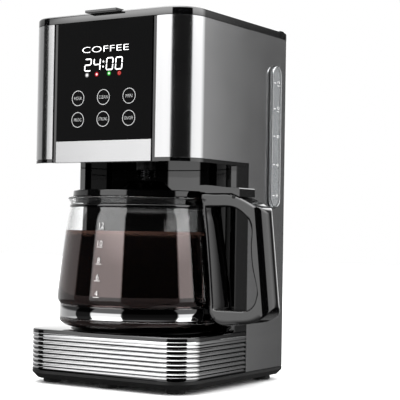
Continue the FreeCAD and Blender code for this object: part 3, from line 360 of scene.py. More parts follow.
def build_brushed_group():
    """Brushed Metal: fine lines that run level round the object, plus slow blotches."""
    group, source, result = node_group(
        "Brushed Metal", {"Line Scale": 1500.0, "Blotch Scale": 30.0}, ("Height", "Roughness")
    )
    links = group.links
    split = group.nodes.new("ShaderNodeSeparateXYZ")
    links.new(object_position(group), split.inputs[0])
    squeezed = group.nodes.new("ShaderNodeCombineXYZ")
    stretch = 0.012
    for axis in (0, 1):
        links.new(math_node(group, "MULTIPLY", split.outputs[axis], stretch), squeezed.inputs[axis])
    links.new(split.outputs[2], squeezed.inputs[2])
    lines = pattern(group, "ShaderNodeTexNoise", source.outputs["Line Scale"], squeezed.outputs[0], Detail=3.0)
    blotch = pattern(group, "ShaderNodeTexNoise", source.outputs["Blotch Scale"], Detail=4.0)
    links.new(lines.outputs["Fac"], result.inputs["Height"])
    both = math_node(group, "MULTIPLY", lines.outputs["Fac"], blotch.outputs["Fac"])
    links.new(both, result.inputs["Roughness"])
    return group


def build_grain_group():
    """Moulded Grain: the fine pebbling of moulded plastic or rubber, with a slower unevenness."""
    scales = {"Scale": 900.0, "Unevenness": 25.0}
    group, source, result = node_group("Moulded Grain", scales, ("Height", "Roughness"))
    links = group.links
    fine = pattern(group, "ShaderNodeTexVoronoi", source.outputs["Scale"])
    fine.feature = "SMOOTH_F1"
    slow = pattern(group, "ShaderNodeTexNoise", source.outputs["Unevenness"], Detail=5.0)
    links.new(fine.outputs["Distance"], result.inputs["Height"])
    links.new(slow.outputs["Fac"], result.inputs["Roughness"])
    return group


def build_polish_group():
    """Polish Marks: hairline swirls and smudges that a wiped glossy surface carries."""
    scales = {"Scale": 60.0, "Smudge Scale": 14.0}
    group, source, result = node_group("Polish Marks", scales, ("Height", "Roughness"))
    links = group.links
    hair = pattern(group, "ShaderNodeTexNoise", source.outputs["Scale"], Detail=8.0, Distortion=1.5)
    smudge = pattern(group, "ShaderNodeTexNoise", source.outputs["Smudge Scale"], Detail=3.0)
    links.new(hair.outputs["Fac"], result.inputs["Height"])
    links.new(math_node(group, "POWER", smudge.outputs["Fac"], 2.0), result.inputs["Roughness"])
    return group


def surface(name, group, colour, rough=(0.2, 0.3), bump=0.1, reach=0.0001, tint=0.0, scales=None, **settings):
    """A Principled material whose roughness, bump and slight colour change come from one of the shared groups.

    rough is the roughness at the pattern's low and high ends; reach is the bump's depth in metres."""
    material = bpy.data.materials.new(name)
    material.use_nodes = True
    tree = material.node_tree
    shader = tree.nodes["Principled BSDF"]
    for label, value in settings.items():
        shader.inputs[label.replace("_", " ")].default_value = value
    effect = tree.nodes.new("ShaderNodeGroup")
    effect.node_tree = bpy.data.node_groups[group]
    for label, value in (scales or {}).items():
        effect.inputs[label].default_value = value
    spread = tree.nodes.new("ShaderNodeMapRange")
    spread.inputs["To Min"].default_value, spread.inputs["To Max"].default_value = rough
    tree.links.new(effect.outputs["Roughness"], spread.inputs["Value"])
    tree.links.new(spread.outputs[0], shader.inputs["Roughness"])
    relief = tree.nodes.new("ShaderNodeBump")
    relief.inputs["Strength"].default_value = bump
    relief.inputs["Distance"].default_value = reach
    tree.links.new(effect.outputs["Height"], relief.inputs["Height"])
    tree.links.new(relief.outputs[0], shader.inputs["Normal"])
    darker = tuple(c * (1.0 - tint) for c in colour)
    tree.links.new(colour_mix(tree, effect.outputs["Roughness"], colour, darker), shader.inputs["Base Color"])
    return material


def build_finishes():
    """Every finish of the machine, by name."""
    build_brushed_group()
    build_grain_group()
    build_polish_group()
    tones = bpy.context.scene.coffee_tones
    steel, black, coffee = tuple(tones.steel), tuple(tones.black), tuple(tones.coffee)
    surface("Stainless Sheet", "Brushed Metal", steel, (0.12, 0.24), 0.10, 2e-5, 0.06, Metallic=1.0)
    surface("Bright Chrome", "Polish Marks", (0.62, 0.62, 0.625), (0.02, 0.08), 0.02, 1e-5, 0.03, Metallic=1.0)
    surface("Satin Bar", "Brushed Metal", (0.60, 0.60, 0.605), (0.16, 0.26), 0.06, 1e-5, 0.04, Metallic=1.0)
    surface("Gloss Black", "Polish Marks", black, (0.02, 0.07), 0.02, 1e-5, 0.1, IOR=1.8)
    surface("Lid Black", "Polish Marks", black, (0.03, 0.08), 0.02, 1e-5, 0.1, IOR=2.1)
    surface("Matt Black", "Moulded Grain", (0.006, 0.006, 0.006), (0.42, 0.62), 0.25, 4e-5, 0.15)
    surface("Panel Glass", "Polish Marks", (0.0015, 0.0015, 0.0016), (0.02, 0.06), 0.01, 1e-5, 0.1,
            Specular_IOR_Level=0.04)
    surface("Rubber", "Moulded Grain", (0.010, 0.010, 0.010), (0.6, 0.85), 0.4, 5e-5, 0.2)
    surface("Black Silicone", "Moulded Grain", (0.008, 0.008, 0.008), (0.4, 0.6), 0.15, 4e-5, 0.1)
    surface("Pale Silicone", "Moulded Grain", (0.72, 0.71, 0.67), (0.3, 0.5), 0.1, 4e-5, 0.1,
            Transmission_Weight=0.3)
    surface("Plate Coating", "Moulded Grain", (0.006, 0.006, 0.006), (0.22, 0.4), 0.3, 3e-5, 0.3)
    surface("Cast Aluminium", "Moulded Grain", (0.55, 0.56, 0.57), (0.4, 0.65), 0.5, 8e-5, 0.2, Metallic=1.0)
    surface("Zinc Steel", "Brushed Metal", (0.58, 0.59, 0.62), (0.2, 0.4), 0.1, 2e-5, 0.2, Metallic=1.0)
    surface("Filter Mesh", "Moulded Grain", (0.60, 0.55, 0.42), (0.25, 0.4), 0.8, 1e-4, 0.5,
            {"Scale": 1500.0}, Metallic=1.0)
    surface("White Plastic", "Moulded Grain", (0.78, 0.78, 0.76), (0.3, 0.5), 0.1, 3e-5, 0.05)
    surface("Solder Mask", "Moulded Grain", (0.01, 0.10, 0.035), (0.25, 0.45), 0.3, 3e-5, 0.3)
    surface("Smoked Display", "Polish Marks", (0.01, 0.01, 0.01), (0.05, 0.1), 0.02, 1e-5, 0.1)
    surface("Tank Plastic", "Polish Marks", (0.62, 0.65, 0.67), (0.12, 0.25), 0.03, 1e-5, 0.05,
            Transmission_Weight=0.7, IOR=1.49)
    surface("Gauge Window", "Polish Marks", (0.80, 0.82, 0.83), (0.03, 0.08), 0.02, 1e-5, 0.03,
            Transmission_Weight=0.85, IOR=1.49)
    surface("Gauge Back", "Moulded Grain", (0.19, 0.195, 0.20), (0.3, 0.45), 0.1, 3e-5, 0.1)
    surface("Carafe Glass", "Polish Marks", (0.985, 0.99, 0.99), (0.0, 0.008), 0.005, 1e-5, 0.0,
            Transmission_Weight=1.0, IOR=1.55)
    brew = surface("Brewed Coffee", "Polish Marks", coffee, (0.0, 0.012), 0.01, 1e-5, 0.1, IOR=2.0,
                   Specular_Tint=(1.0, 0.74, 0.71, 1.0))
    add_rim_colour(brew, tuple(tones.coffee_edge))
    surface("Gauge Edge", "Polish Marks", (0.75, 0.76, 0.77), (0.05, 0.12), 0.02, 1e-5, 0.03, Metallic=1.0)
    surface("White Print", "Moulded Grain", (0.50, 0.50, 0.50), (0.4, 0.55), 0.05, 1e-5, 0.05)
    surface("Mark Print", "Moulded Grain", (0.75, 0.75, 0.74), (0.35, 0.5), 0.05, 1e-5, 0.05)
    # A darkened copy of the zinc steel for the drip spring: painted shade.
    surface("Painted Shade Wire", "Brushed Metal", (0.10, 0.10, 0.105), (0.2, 0.4), 0.1, 2e-5, 0.2, Metallic=1.0)
    # Glowing finish of the clock digits. The printed heading takes it too, and there the glow is painted light: a
    # print that glows though it is no lamp.
    surface("Clock Glow and Painted Print Light", "Moulded Grain", (0.9, 0.9, 0.9), (0.4, 0.5), 0.02, 1e-5, 0.1,
            Emission_Color=(1.0, 1.0, 1.0, 1.0), Emission_Strength=0.8)
    lamp("Lamp White", (0.9, 0.9, 0.9), 1.3)
    lamp("Lamp Red", (1.0, 0.02, 0.05), 1.5)
    lamp("Lamp Green", (0.05, 0.9, 0.08), 1.3)
    lamp("Lamp Orange", (1.0, 0.05, 0.04), 1.3)


def lamp(name, colour, strength):
    """A lamp behind the glass: a lit middle that fades out over the mesh's "glow" values."""
    material = surface(name, "Polish Marks", (0.002, 0.002, 0.002), (0.1, 0.2), 0.0, 1e-5, 0.1,
                       Specular_IOR_Level=0.04, Emission_Strength=strength)
    tree = material.node_tree
    shader = tree.nodes["Principled BSDF"]
    glow = tree.nodes.new("ShaderNodeAttribute")
    glow.attribute_name = "glow"
    spread = tree.nodes.new("ShaderNodeValToRGB")
    elements = spread.color_ramp.elements
    elements[0].color = (0.0, 0.0, 0.0, 1.0)
    elements[1].color = (1.0, 1.0, 1.0, 1.0)
    halo = elements.new(0.6)
    halo.color = (*(0.55 * c for c in colour), 1.0)
    tree.links.new(glow.outputs["Fac"], spread.inputs["Fac"])
    tree.links.new(spread.outputs[0], shader.inputs["Emission Color"])
    return material


def add_rim_colour(material, edge_colour):
    """Makes the liquid lighter over its top few millimetres, where it is thin against the glass."""
    tree = material.node_tree
    shader = tree.nodes["Principled BSDF"]
    deep = shader.inputs["Base Color"].links[0].from_socket
    split = tree.nodes.new("ShaderNodeSeparateXYZ")
    tree.links.new(object_position(tree), split.inputs[0])
    level = bpy.context.scene.coffee_carafe.coffee_level
    fade = smooth_step(tree, split.outputs[2], (level - 6.0 * MM, level - 1.0 * MM))
    tree.links.new(colour_mix(tree, fade, deep, edge_colour), shader.inputs["Base Color"])


def finish(name):
    """A finish that has been built."""
    return bpy.data.materials[name]


# ---------------------------------------------------------------- sizes and colours


class CasingSizes(bpy.types.PropertyGroup):
    """Sizes of the casing's edges and ribs."""

    front_radius: bpy.props.FloatProperty(
        name="Front corners", description="Radius of the two front corners", default=27.5 * MM, unit="LENGTH")
    back_radius: bpy.props.FloatProperty(
        name="Back corners", description="Radius of the two back corners", default=12.0 * MM, unit="LENGTH")
    rib_count: bpy.props.IntProperty(name="Ribs", description="Ribs on the base's bright band", default=7, min=1)
    rib_depth: bpy.props.FloatProperty(
        name="Rib depth", description="How far a rib stands out", default=1.1 * MM, unit="LENGTH")
    bay_radius: bpy.props.FloatProperty(
        name="Bay radius", description="Radius of the hollow in the column", default=86.0 * MM, unit="LENGTH")


class CarafeSizes(bpy.types.PropertyGroup):
    """Sizes of what is in and on the carafe."""

    coffee_level: bpy.props.FloatProperty(
        name="Coffee level", description="Height of the coffee's surface", default=142.6 * MM, unit="LENGTH")
    mark_angle: bpy.props.FloatProperty(
        name="Mark angle", description="Where the cup marks are round the glass", default=math.radians(-87.0),
        subtype="ANGLE")
    handle_edge: bpy.props.FloatProperty(
        name="Handle edge", description="Rounding of the handle's long edges", default=1.6 * MM, unit="LENGTH")


class ToneSettings(bpy.types.PropertyGroup):
    """Colours of the main finishes."""

    steel: bpy.props.FloatVectorProperty(
        name="Steel", description="Colour of the brushed sheets", default=(0.66, 0.66, 0.665), subtype="COLOR")
    black: bpy.props.FloatVectorProperty(
        name="Black", description="Colour of the glossy mouldings", default=(0.0008, 0.0008, 0.0009),
        subtype="COLOR")
    coffee: bpy.props.FloatVectorProperty(
        name="Coffee", description="Colour of the coffee", default=(0.0016, 0.0007, 0.0005), subtype="COLOR")
    coffee_edge: bpy.props.FloatVectorProperty(
        name="Coffee edge", description="Colour of the coffee at its surface", default=(0.075, 0.040, 0.030),
        subtype="COLOR")


class StudioSettings(bpy.types.PropertyGroup):
    """Floor, light tent and camera."""

    floor_size: bpy.props.FloatProperty(
        name="Floor size", description="Half width of the floor", default=4.0, unit="LENGTH")
    floor_colour: bpy.props.FloatVectorProperty(
        name="Floor", description="Colour of the floor", default=(0.92, 0.92, 0.92), subtype="COLOR")
    tent_strength: bpy.props.FloatProperty(
        name="Tent", description="Brightness of the light tent", default=1.45, min=0.0)
    top_strength: bpy.props.FloatProperty(
        name="Top light", description="Power of the light overhead, in watts", default=14.0, min=0.0)


# ---------------------------------------------------------------- pieces of the base and column


class COFFEE_OT_finishes(bpy.types.Operator):
    """Builds every finish of the machine"""

    bl_idname = "coffee.finishes"
    bl_label = "Finishes"

    def execute(self, context):
        build_finishes()
        return {"FINISHED"}


class COFFEE_OT_base(bpy.types.Operator):
    """Builds the ribbed band, the deck and the warming plate"""

    bl_idname = "coffee.base"
    bl_label = "Base"

    def execute(self, context):
        sizes = context.scene.coffee_casing
        self.ribbed_band(sizes)
        self.deck()
        self.plate()
        return {"FINISHED"}

    def ribbed_band(self, sizes):
        """Closed profile: half-round ribs outside, a flat lip above and below, a plain wall inside."""
        low, high = BAND_LOW.z, BAND_HIGH.z
        pitch = 4.1 * MM
        lip = (high - low - sizes.rib_count * pitch) / 2
        turn = np.linspace(0.0, math.pi, 11)
        rib_height = low + lip + (np.arange(sizes.rib_count)[:, None] + 0.5 - 0.46 * np.cos(turn)) * pitch
        rib_inset = sizes.rib_depth * (1 - np.sin(turn)) + 0 * rib_height
        ribs = np.stack([rib_inset.ravel(), rib_height.ravel()], 1)
        d = sizes.rib_depth
        lower = np.array([(3.3 * MM, low), (0.25 * MM, low), (0.0, low + 0.25 * MM), (0.0, low + lip - 0.5 * MM),
                          (d, low + lip - 0.4 * MM)])
        upper = np.array([(d, high - lip + 0.4 * MM), (0.0, high - lip + 0.5 * MM), (0.0, high - 0.25 * MM),
                          (0.25 * MM, high), (3.3 * MM, high)])
        profile = np.vstack([lower, ribs, upper])
        points = carried_round(rounded_outline(BAND_HIGH.y), profile)
        piece = grid_piece("ribbed_band", points, close_rows=True, close_columns=False, cap="columns", sharp=50.0)
        settled(piece, "housing", finish("Bright Chrome"), ["base_band"])

    def deck(self):
        """Rows from the underside's hole, out and round the rounded rim, and back in to the plate's recess."""
        front, front_normal = rounded_outline(SEAM_Y - 0.05 * MM)
        back, back_normal = back_outline(SEAM_Y + 0.05 * MM)
        base, normal = np.vstack([front, back]), np.vstack([front_normal, back_normal])
        inset = np.concatenate([np.full(len(front), 0.2 * MM), np.full(len(back), 1.1 * MM)])
        edge = 1.5 * MM
        turn = np.linspace(0.0, math.pi / 2, 7)
        step = np.concatenate([[0.0], edge * (1 - np.cos(turn))])
        level = np.concatenate([[DECK_LOW.z], DECK_HIGH.z - edge + edge * np.sin(turn)])
        rows = base[None] - (inset[None, :, None] + step[:, None, None]) * normal[None]
        rows = np.dstack([rows, np.repeat(level[:, None], len(base), 1)])
        ray = base - np.array([0.0, CARAFE_Y])
        ray /= np.linalg.norm(ray, axis=1, keepdims=True)
        circles = []
        recess = DECK_HIGH.z - 0.8 * MM
        for radius, height in ((67.9, DECK_HIGH.z), (67.5, DECK_HIGH.z - 0.3 * MM), (67.5, recess),
                               (60.0, recess), (60.0, DECK_LOW.z)):
            ring = np.array([0.0, CARAFE_Y]) + radius * MM * ray
            circles.append(np.column_stack([ring, np.full(len(ring), height)]))
        points = np.vstack([rows, np.stack(circles)])
        piece = grid_piece("deck", points, close_rows=True, sharp=25.0)
        settled(piece, "housing", finish("Gloss Black"), ["base_deck"])

    def plate(self):
        """Turned profile of the pan: thin flange, rolled shoulder and a flat top with a shallow ring."""
        profile = np.array([
            (0.0, 51.4), (56.5, 51.4), (57.0, 51.0), (57.0, 50.1), (57.4, 49.8), (66.8, 49.8), (67.2, 50.1),
            (67.2, 50.8), (66.8, 51.1), (63.4, 51.15), (62.2, 51.5), (61.4, 52.2), (60.4, 52.55), (59.4, 52.6),
            (47.0, 52.6), (46.6, 52.35), (45.4, 52.35), (45.0, 52.6), (0.0, 52.6)]) * MM
        piece = grid_piece("warming_plate_pan", turned(profile), sharp=30.0)
        settled(piece, "housing", finish("Plate Coating"), ["warming_plate"])


class COFFEE_OT_column(bpy.types.Operator):
    """Builds the black column that is hollowed round the carafe"""

    bl_idname = "coffee.column"
    bl_label = "Column"

    def execute(self, context):
        radius = context.scene.coffee_casing.bay_radius
        wing_y, side, covered = COLUMN_LOW.y, COLUMN_HIGH.x, COLUMN_HIGH.x - 1.0 * MM
        half = math.asin((wing_y - CARAFE_Y) / radius)
        turn = np.linspace(half, math.pi - half, 121)
        hollow = np.stack([radius * np.cos(turn), CARAFE_Y + radius * np.sin(turn)], 1)
        left = np.array([(-side, wing_y), (-side, SEAM_Y - 0.1 * MM), (-covered, SEAM_Y), (-covered, 75 * MM),
                         (-covered + 12 * MM, 90 * MM)])
        outside = np.vstack([left, left[::-1] * MIRROR_X])
        piece = slab_piece("column_moulding", np.vstack([hollow, outside]), COLUMN_LOW.z, COLUMN_HIGH.z, edge=0.5)
        settled(piece, "housing", finish("Gloss Black"), ["column"])
        return {"FINISHED"}


# ---------------------------------------------------------------- pieces of the head


class COFFEE_OT_steel(bpy.types.Operator):
    """Builds the two brushed sheets that wrap the head's front corners"""

    bl_idname = "coffee.steel"
    bl_label = "Steel sheets"

    def execute(self, context):
        low, high = SHEET_LOW.z, SHEET_HIGH.z
        e = 0.25 * MM
        t = 1.0 * MM
        profile = np.array([(e, low), (0.0, low + e), (0.0, high - e), (e, high), (t, high), (t, low)])
        base, normal = rounded_outline(SHEET_HIGH.y)
        half = len(base) // 2
        edge = np.array([[CHANNEL_X, FRONT_Y]])
        right = np.vstack([base[:half], edge]), np.vstack([normal[:half], [[0.0, -1.0]]])
        left = right[0] * MIRROR_X, right[1] * MIRROR_X
        for name, node, outline in (("sheet_right", "right_sheet", right), ("sheet_left", "left_sheet", left)):
            points = carried_round(outline, profile)
            piece = grid_piece(name, points, close_rows=True, close_columns=False, cap="columns", sharp=40.0)
            settled(piece, "housing", finish("Stainless Sheet"), [node])
        return {"FINISHED"}


class COFFEE_OT_panel(bpy.types.Operator):
    """Builds the glass panel and the bright bar under it"""

    bl_idname = "coffee.panel"
    bl_label = "Control panel"

    def execute(self, context):
        for name, node, low, high, slot, coat, edge in (
            ("panel_glass", "control_panel", PANEL_LOW, PANEL_HIGH, "panel_glass", "Panel Glass", 0.35),
            ("bright_bar", "trim_bar", TRIM_LOW, TRIM_HIGH, "polished_trim", "Satin Bar", 0.3),
        ):
            outline = [(low.x, low.z), (high.x, low.z), (high.x, high.z), (low.x, high.z)]
            piece = slab_piece(name, outline, low.y, high.y, axis="y", edge=edge)
            settled(piece, "housing", finish(coat), [node])
        return {"FINISHED"}


def on_front(x0, z0):
    """Placement of flat letters on the front glass, their middle at (x0, z0): thickness points to the front."""
    face = PANEL_LOW.y - 0.07 * MM

    def place(x, y, depth):
        return np.stack([x + x0 * MM, face - depth, y + z0 * MM], 1)

    return place


def circles_on_glass(x, z, radii, lifts, segments):
    """Circles about (x, z) on the front glass, one for each radius and lift off the glass, in millimetres."""
    turn = full_turn(segments)
    r, lift = np.array(radii)[:, None] * MM, np.array(lifts)[:, None] * MM
    return np.dstack([x * MM + r * np.cos(turn), PANEL_LOW.y - lift + 0 * turn, z * MM + r * np.sin(turn)])


class COFFEE_OT_prints(bpy.types.Operator):
    """Builds the clock, the lamps, the key rings and the words on the glass"""

    bl_idname = "coffee.prints"
    bl_label = "Clock and key prints"

    def execute(self, context):
        self.clock()
        self.lamps()
        self.keys()
        return {"FINISHED"}

    def clock(self):
        """Seven-segment digits: each segment is a six-sided bar with pointed ends, leaning a little."""
        width, height, stroke, lean = 6.9, 10.6, 1.05, 0.06
        left, base = -21.4, 288.0
        segments = {"a": (0, 1, 1, 1), "b": (1, 0.5, 1, 1), "c": (1, 0, 1, 0.5), "d": (0, 0, 1, 0),
                    "e": (0, 0, 0, 0.5), "f": (0, 0.5, 0, 1), "g": (0, 0.5, 1, 0.5)}
        digits = (("abged", 0.0), ("fgbc", 10.2), ("abcdef", 24.4), ("abcdef", 34.6))
        bars = []
        for lit, offset in digits:
            for key in lit:
                x0, y0, x1, y1 = segments[key]
                start = np.array([x0 * width, y0 * height])
                end = np.array([x1 * width, y1 * height])
                along = (end - start) / np.linalg.norm(end - start)
                across = np.array([-along[1], along[0]]) * stroke / 2
                a, b = start + along * 0.2, end - along * 0.2
                inner = along * stroke / 2
                shape = [a, a + inner + across, b - inner + across, b, b - inner - across, a + inner - across]
                bars.append(np.array(shape) + [left + offset, base])
        for dot_y in (3.0, 7.6):
            turn = full_turn(16)
            dot = np.stack([0.8 * np.cos(turn), 0.8 * np.sin(turn)], 1)
            bars.append(dot + [left + 20.7, base + dot_y])
        front, back = PANEL_LOW.y - 0.12 * MM, PANEL_LOW.y - 0.02 * MM
        pieces = []
        for shape in bars:
            shape = shape + np.stack([(shape[:, 1] - base) * lean, 0 * shape[:, 1]], 1)
            pieces.append(slab_piece("bar", shape * MM, front, back, axis="y", edge=0))
        settled(joined("clock_digits", pieces), "housing", finish("Clock Glow and Painted Print Light"))

    def lamps(self):
        """Small round lamps: flat discs with a "glow" value that falls from the middle to the edge."""
        for name, x, z, coat in (
            ("lamp_white", -18.6, 284.2, "Lamp White"), ("lamp_red", -7.6, 284.4, "Lamp Red"),
            ("lamp_green", 6.2, 284.6, "Lamp Green"), ("lamp_last", 17.6, 284.3, "Lamp Orange"),
        ):
            radii = (0.0, 0.5, 1.0, 1.4, 1.8, 2.4, 2.4, 0.0)
            piece = grid_piece(name, circles_on_glass(x, z, radii, (0.10,) * 6 + (0.03,) * 2, 32))
            place = vertex_places(piece.data)
            away = np.hypot(place[:, 0] - x * MM, place[:, 2] - z * MM) / (2.4 * MM)
            value = np.clip(1.25 - 1.3 * away, 0.0, 1.0)
            if name == "lamp_last":
                value = np.where(away < 0.3, 0.25, value)
            glow = piece.data.attributes.new("glow", "FLOAT", "POINT")
            glow.data.foreach_set("value", value)
            settled(piece, "housing", finish(coat))

    def keys(self):
        """A ring with its word for each key, and the heading over the clock."""
        pieces = []
        for word, x, z in KEYS:
            ring = circles_on_glass(x, z, (7.0, 7.0, 6.5, 6.5), (0.02, 0.10, 0.10, 0.02), 48)
            pieces.append(grid_piece("ring", ring, close_rows=True))
            width = {3: 7.0, 4: 8.4}.get(len(word), 9.6)
            pieces.append(lettering("word", word, width, 2.9, on_front(x, z)))
        heading = lettering("word", "COFFEE", 52.0, 5.4, on_front(1.6, 307.2))
        settled(joined("key_prints", pieces), "housing", finish("White Print"))
        # Painted light: the heading is print, yet it takes the glowing finish so that it shows bright.
        settled(heading, "housing", finish("Clock Glow and Painted Print Light"))
        heading.name = "heading_print"


class COFFEE_OT_lid(bpy.types.Operator):
    """Builds the hinged top lid, its lift tab and the fixed strip behind it"""

    bl_idname = "coffee.lid"
    bl_label = "Top lid"

    def execute(self, context):
        low, high = STRIP_LOW.z, STRIP_HIGH.z
        self.cover(low, high)
        self.strip(low, high)
        front, back, top = TAB_LOW.y, TAB_HIGH.y, TAB_HIGH.z
        under, foot, corner = top - 2.5 * MM, top - 1.27 * MM, FRONT_Y + 0.06 * MM
        outline = [(front, under), (corner, under), (corner, top - 1.7 * MM), (FRONT_Y + 1.3 * MM, foot),
                   (back, foot), (back, top), (front, top)]
        tab = slab_piece("lift_tab", outline, TAB_LOW.x, TAB_HIGH.x, axis="x", edge=0.45)
        settled(tab, "lid", finish("Lid Black"), ["lid_tab"])
        return {"FINISHED"}

    def rim_profile(self, low, high):
        """Rows of (inset, height) over the lid's edge: straight wall, a quarter circle, then the flat top."""
        edge = 2.0 * MM
        turn = np.linspace(0.0, math.pi / 2, 8)
        bend = np.stack([0.1 * MM + edge * (1 - np.cos(turn)), high - edge + edge * np.sin(turn)], 1)
        wall = [(2.4 * MM, high - 2.2 * MM), (2.4 * MM, low), (0.35 * MM, low), (0.1 * MM, low + 0.25 * MM)]
        return np.vstack([wall, bend])

    def cover(self, low, high):
        """The lid's shell: the rim carried round three sides and closed over the top, under and behind.

        Its moving hinge pieces have a D-shaped outline: flat to the shell, a half circle about the pin behind."""
        knuckle = (high - low) / 2
        rear = HINGE_Y - knuckle - 0.6 * MM
        rows = carried_round(rounded_outline(rear), self.rim_profile(low, high))
        count, columns = rows.shape[:2]
        ends = [k * columns for k in range(count)] + [(k + 1) * columns - 1 for k in reversed(range(count))]
        faces = grid_faces(count, columns, False, False)
        faces += [list(range(columns)), list(range((count - 1) * columns, count * columns)), ends]
        shell = mesh_piece("shell", rows, faces)
        turn = np.linspace(-math.pi / 2, math.pi / 2, 21)
        behind = np.stack([HINGE_Y + knuckle * np.cos(turn), HINGE_Z + knuckle * np.sin(turn)], 1)
        shape = np.vstack([[(rear - 1.0 * MM, high)], [(rear - 1.0 * MM, low)], behind])
        edges = [-SIDE_X + 0.1 * MM]
        edges += [x * MM + gap for a, b in HINGE_PIECES for x, gap in ((a, -0.3 * MM), (b, 0.3 * MM))]
        edges += [SIDE_X - 0.1 * MM]
        pairs = zip(edges[0::2], edges[1::2])
        moving = [slab_piece("piece", shape, x0, x1, axis="x", edge=0.0) for x0, x1 in pairs]
        settled(joined("lid_cover", [shell] + moving), "lid", finish("Lid Black"), ["lid"])

    def strip(self, low, high):
        """The strip: a rounded outline behind the lid, with its own three knuckles."""
        base, normal = back_outline(81.0 * MM)
        edge = 2.0 * MM
        turn = np.linspace(0.0, math.pi / 2, 8)
        inset = np.concatenate([[0.1 * MM], 0.1 * MM + edge * (1 - np.cos(turn))])
        level = np.concatenate([[low], high - edge + edge * np.sin(turn)])
        rows = carried_round((base, normal), np.stack([inset, level], 1))
        body = grid_piece("strip", rows, close_columns=True, cap="rows")
        knuckle = (high - low) / 2 - 0.1 * MM
        turn = full_turn(40)
        circle = np.stack([HINGE_Y + knuckle * np.cos(turn), HINGE_Z + knuckle * np.sin(turn)], 1)
        arm_y, under, over = 82 * MM, HINGE_Z - knuckle, HINGE_Z + knuckle
        arm = [(HINGE_Y, under), (arm_y, under), (arm_y, over), (HINGE_Y, over)]
        parts = []
        for x0, x1 in HINGE_PIECES:
            for shape in (circle, arm):
                parts.append(slab_piece("knuckle", shape, x0 * MM, x1 * MM, axis="x", edge=0.0))
        piece = joined("hinge_strip", [body] + parts)
        settled(piece, "housing", finish("Lid Black"), ["rear_strip"])


class COFFEE_OT_gauge(bpy.types.Operator):
    """Builds the water gauge in the machine's side, with its marks"""

    bl_idname = "coffee.gauge"
    bl_label = "Water gauge"

    def execute(self, context):
        low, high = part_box("gauge_gasket")
        y = (low.y + high.y) / 2
        half = (high.y - low.y) / 2
        centre = np.array([y, 0.0])
        self.gasket(centre, half, low, high)
        self.bright_rim(centre)
        low_w, high_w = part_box("gauge_window")
        outline = stadium((high_w.y - low_w.y) / 2, low_w.z, high_w.z) + centre
        window = slab_piece("gauge_cover", outline, low_w.x + 0.9 * MM, high_w.x, axis="x", edge=1.2)
        settled(window, "housing", finish("Gauge Window"), ["gauge_window"])
        low_s, high_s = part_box("gauge_scale")
        outline = stadium((high_s.y - low_s.y) / 2, low_s.z, high_s.z) + centre
        back = slab_piece("gauge_back", outline, low_s.x, low_s.x + 0.8 * MM, axis="x", edge=0.2)
        settled(back, "housing", finish("Gauge Back"), ["gauge_scale"])
        marks = []
        face = high_w.x + 0.02 * MM
        for cups, z in GAUGE_MARKS:
            def place(u, v, depth, z=z):
                return np.stack([face + depth, y + 2.0 * MM - v, z * MM + u], 1)

            marks.append(lettering("mark", str(cups), None, 4.6, place))
            ends, half_line = (y - 6.5 * MM, y - 3.0 * MM), 0.35 * MM
            line = [(ends[0], z * MM - half_line), (ends[1], z * MM - half_line), (ends[1], z * MM + half_line),
                    (ends[0], z * MM + half_line)]
            marks.append(slab_piece("line", line, face, face + 0.06 * MM, axis="x", edge=0))
        settled(joined("gauge_marks", marks), "housing", finish("Mark Print"))
        return {"FINISHED"}

    def gasket(self, centre, half, low, high):
        """The gasket: two slot outlines, one inside the other, joined front and back."""
        outer = stadium(half, low.z, high.z) + centre
        inner = stadium(half - 1.5 * MM, low.z + 1.5 * MM, high.z - 1.5 * MM) + centre
        shoulder = high.x - 0.3 * MM
        rows = [(outer, low.x), (outer, shoulder), (outer * 0.7 + inner * 0.3, high.x),
                (inner * 0.7 + outer * 0.3, high.x), (inner, shoulder), (inner, low.x)]
        points = np.stack([np.column_stack([np.full(len(shape), x), shape]) for shape, x in rows])
        ring = grid_piece("gauge_ring", points, close_rows=True)
        settled(ring, "housing", finish("Black Silicone"), ["gauge_gasket"])

    def bright_rim(self, centre):
        """The polished rim between the gasket and the window: a half-round bead carried round a slot outline."""
        low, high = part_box("gauge_window")
        wide = (high.y - low.y) / 2
        rows = []
        for angle in full_turn(12):
            shift = 0.5 * MM * (1 - math.cos(angle))
            shape = stadium(wide - shift, low.z + shift, high.z - shift) + centre
            x = high.x - 0.6 * MM + 0.6 * MM * math.sin(angle)
            rows.append(np.column_stack([np.full(len(shape), x), shape]))
        rim = grid_piece("gauge_rim", np.stack(rows), close_rows=True, sharp=60.0)
        settled(rim, "housing", finish("Gauge Edge"))


# ---------------------------------------------------------------- pieces of the carafe


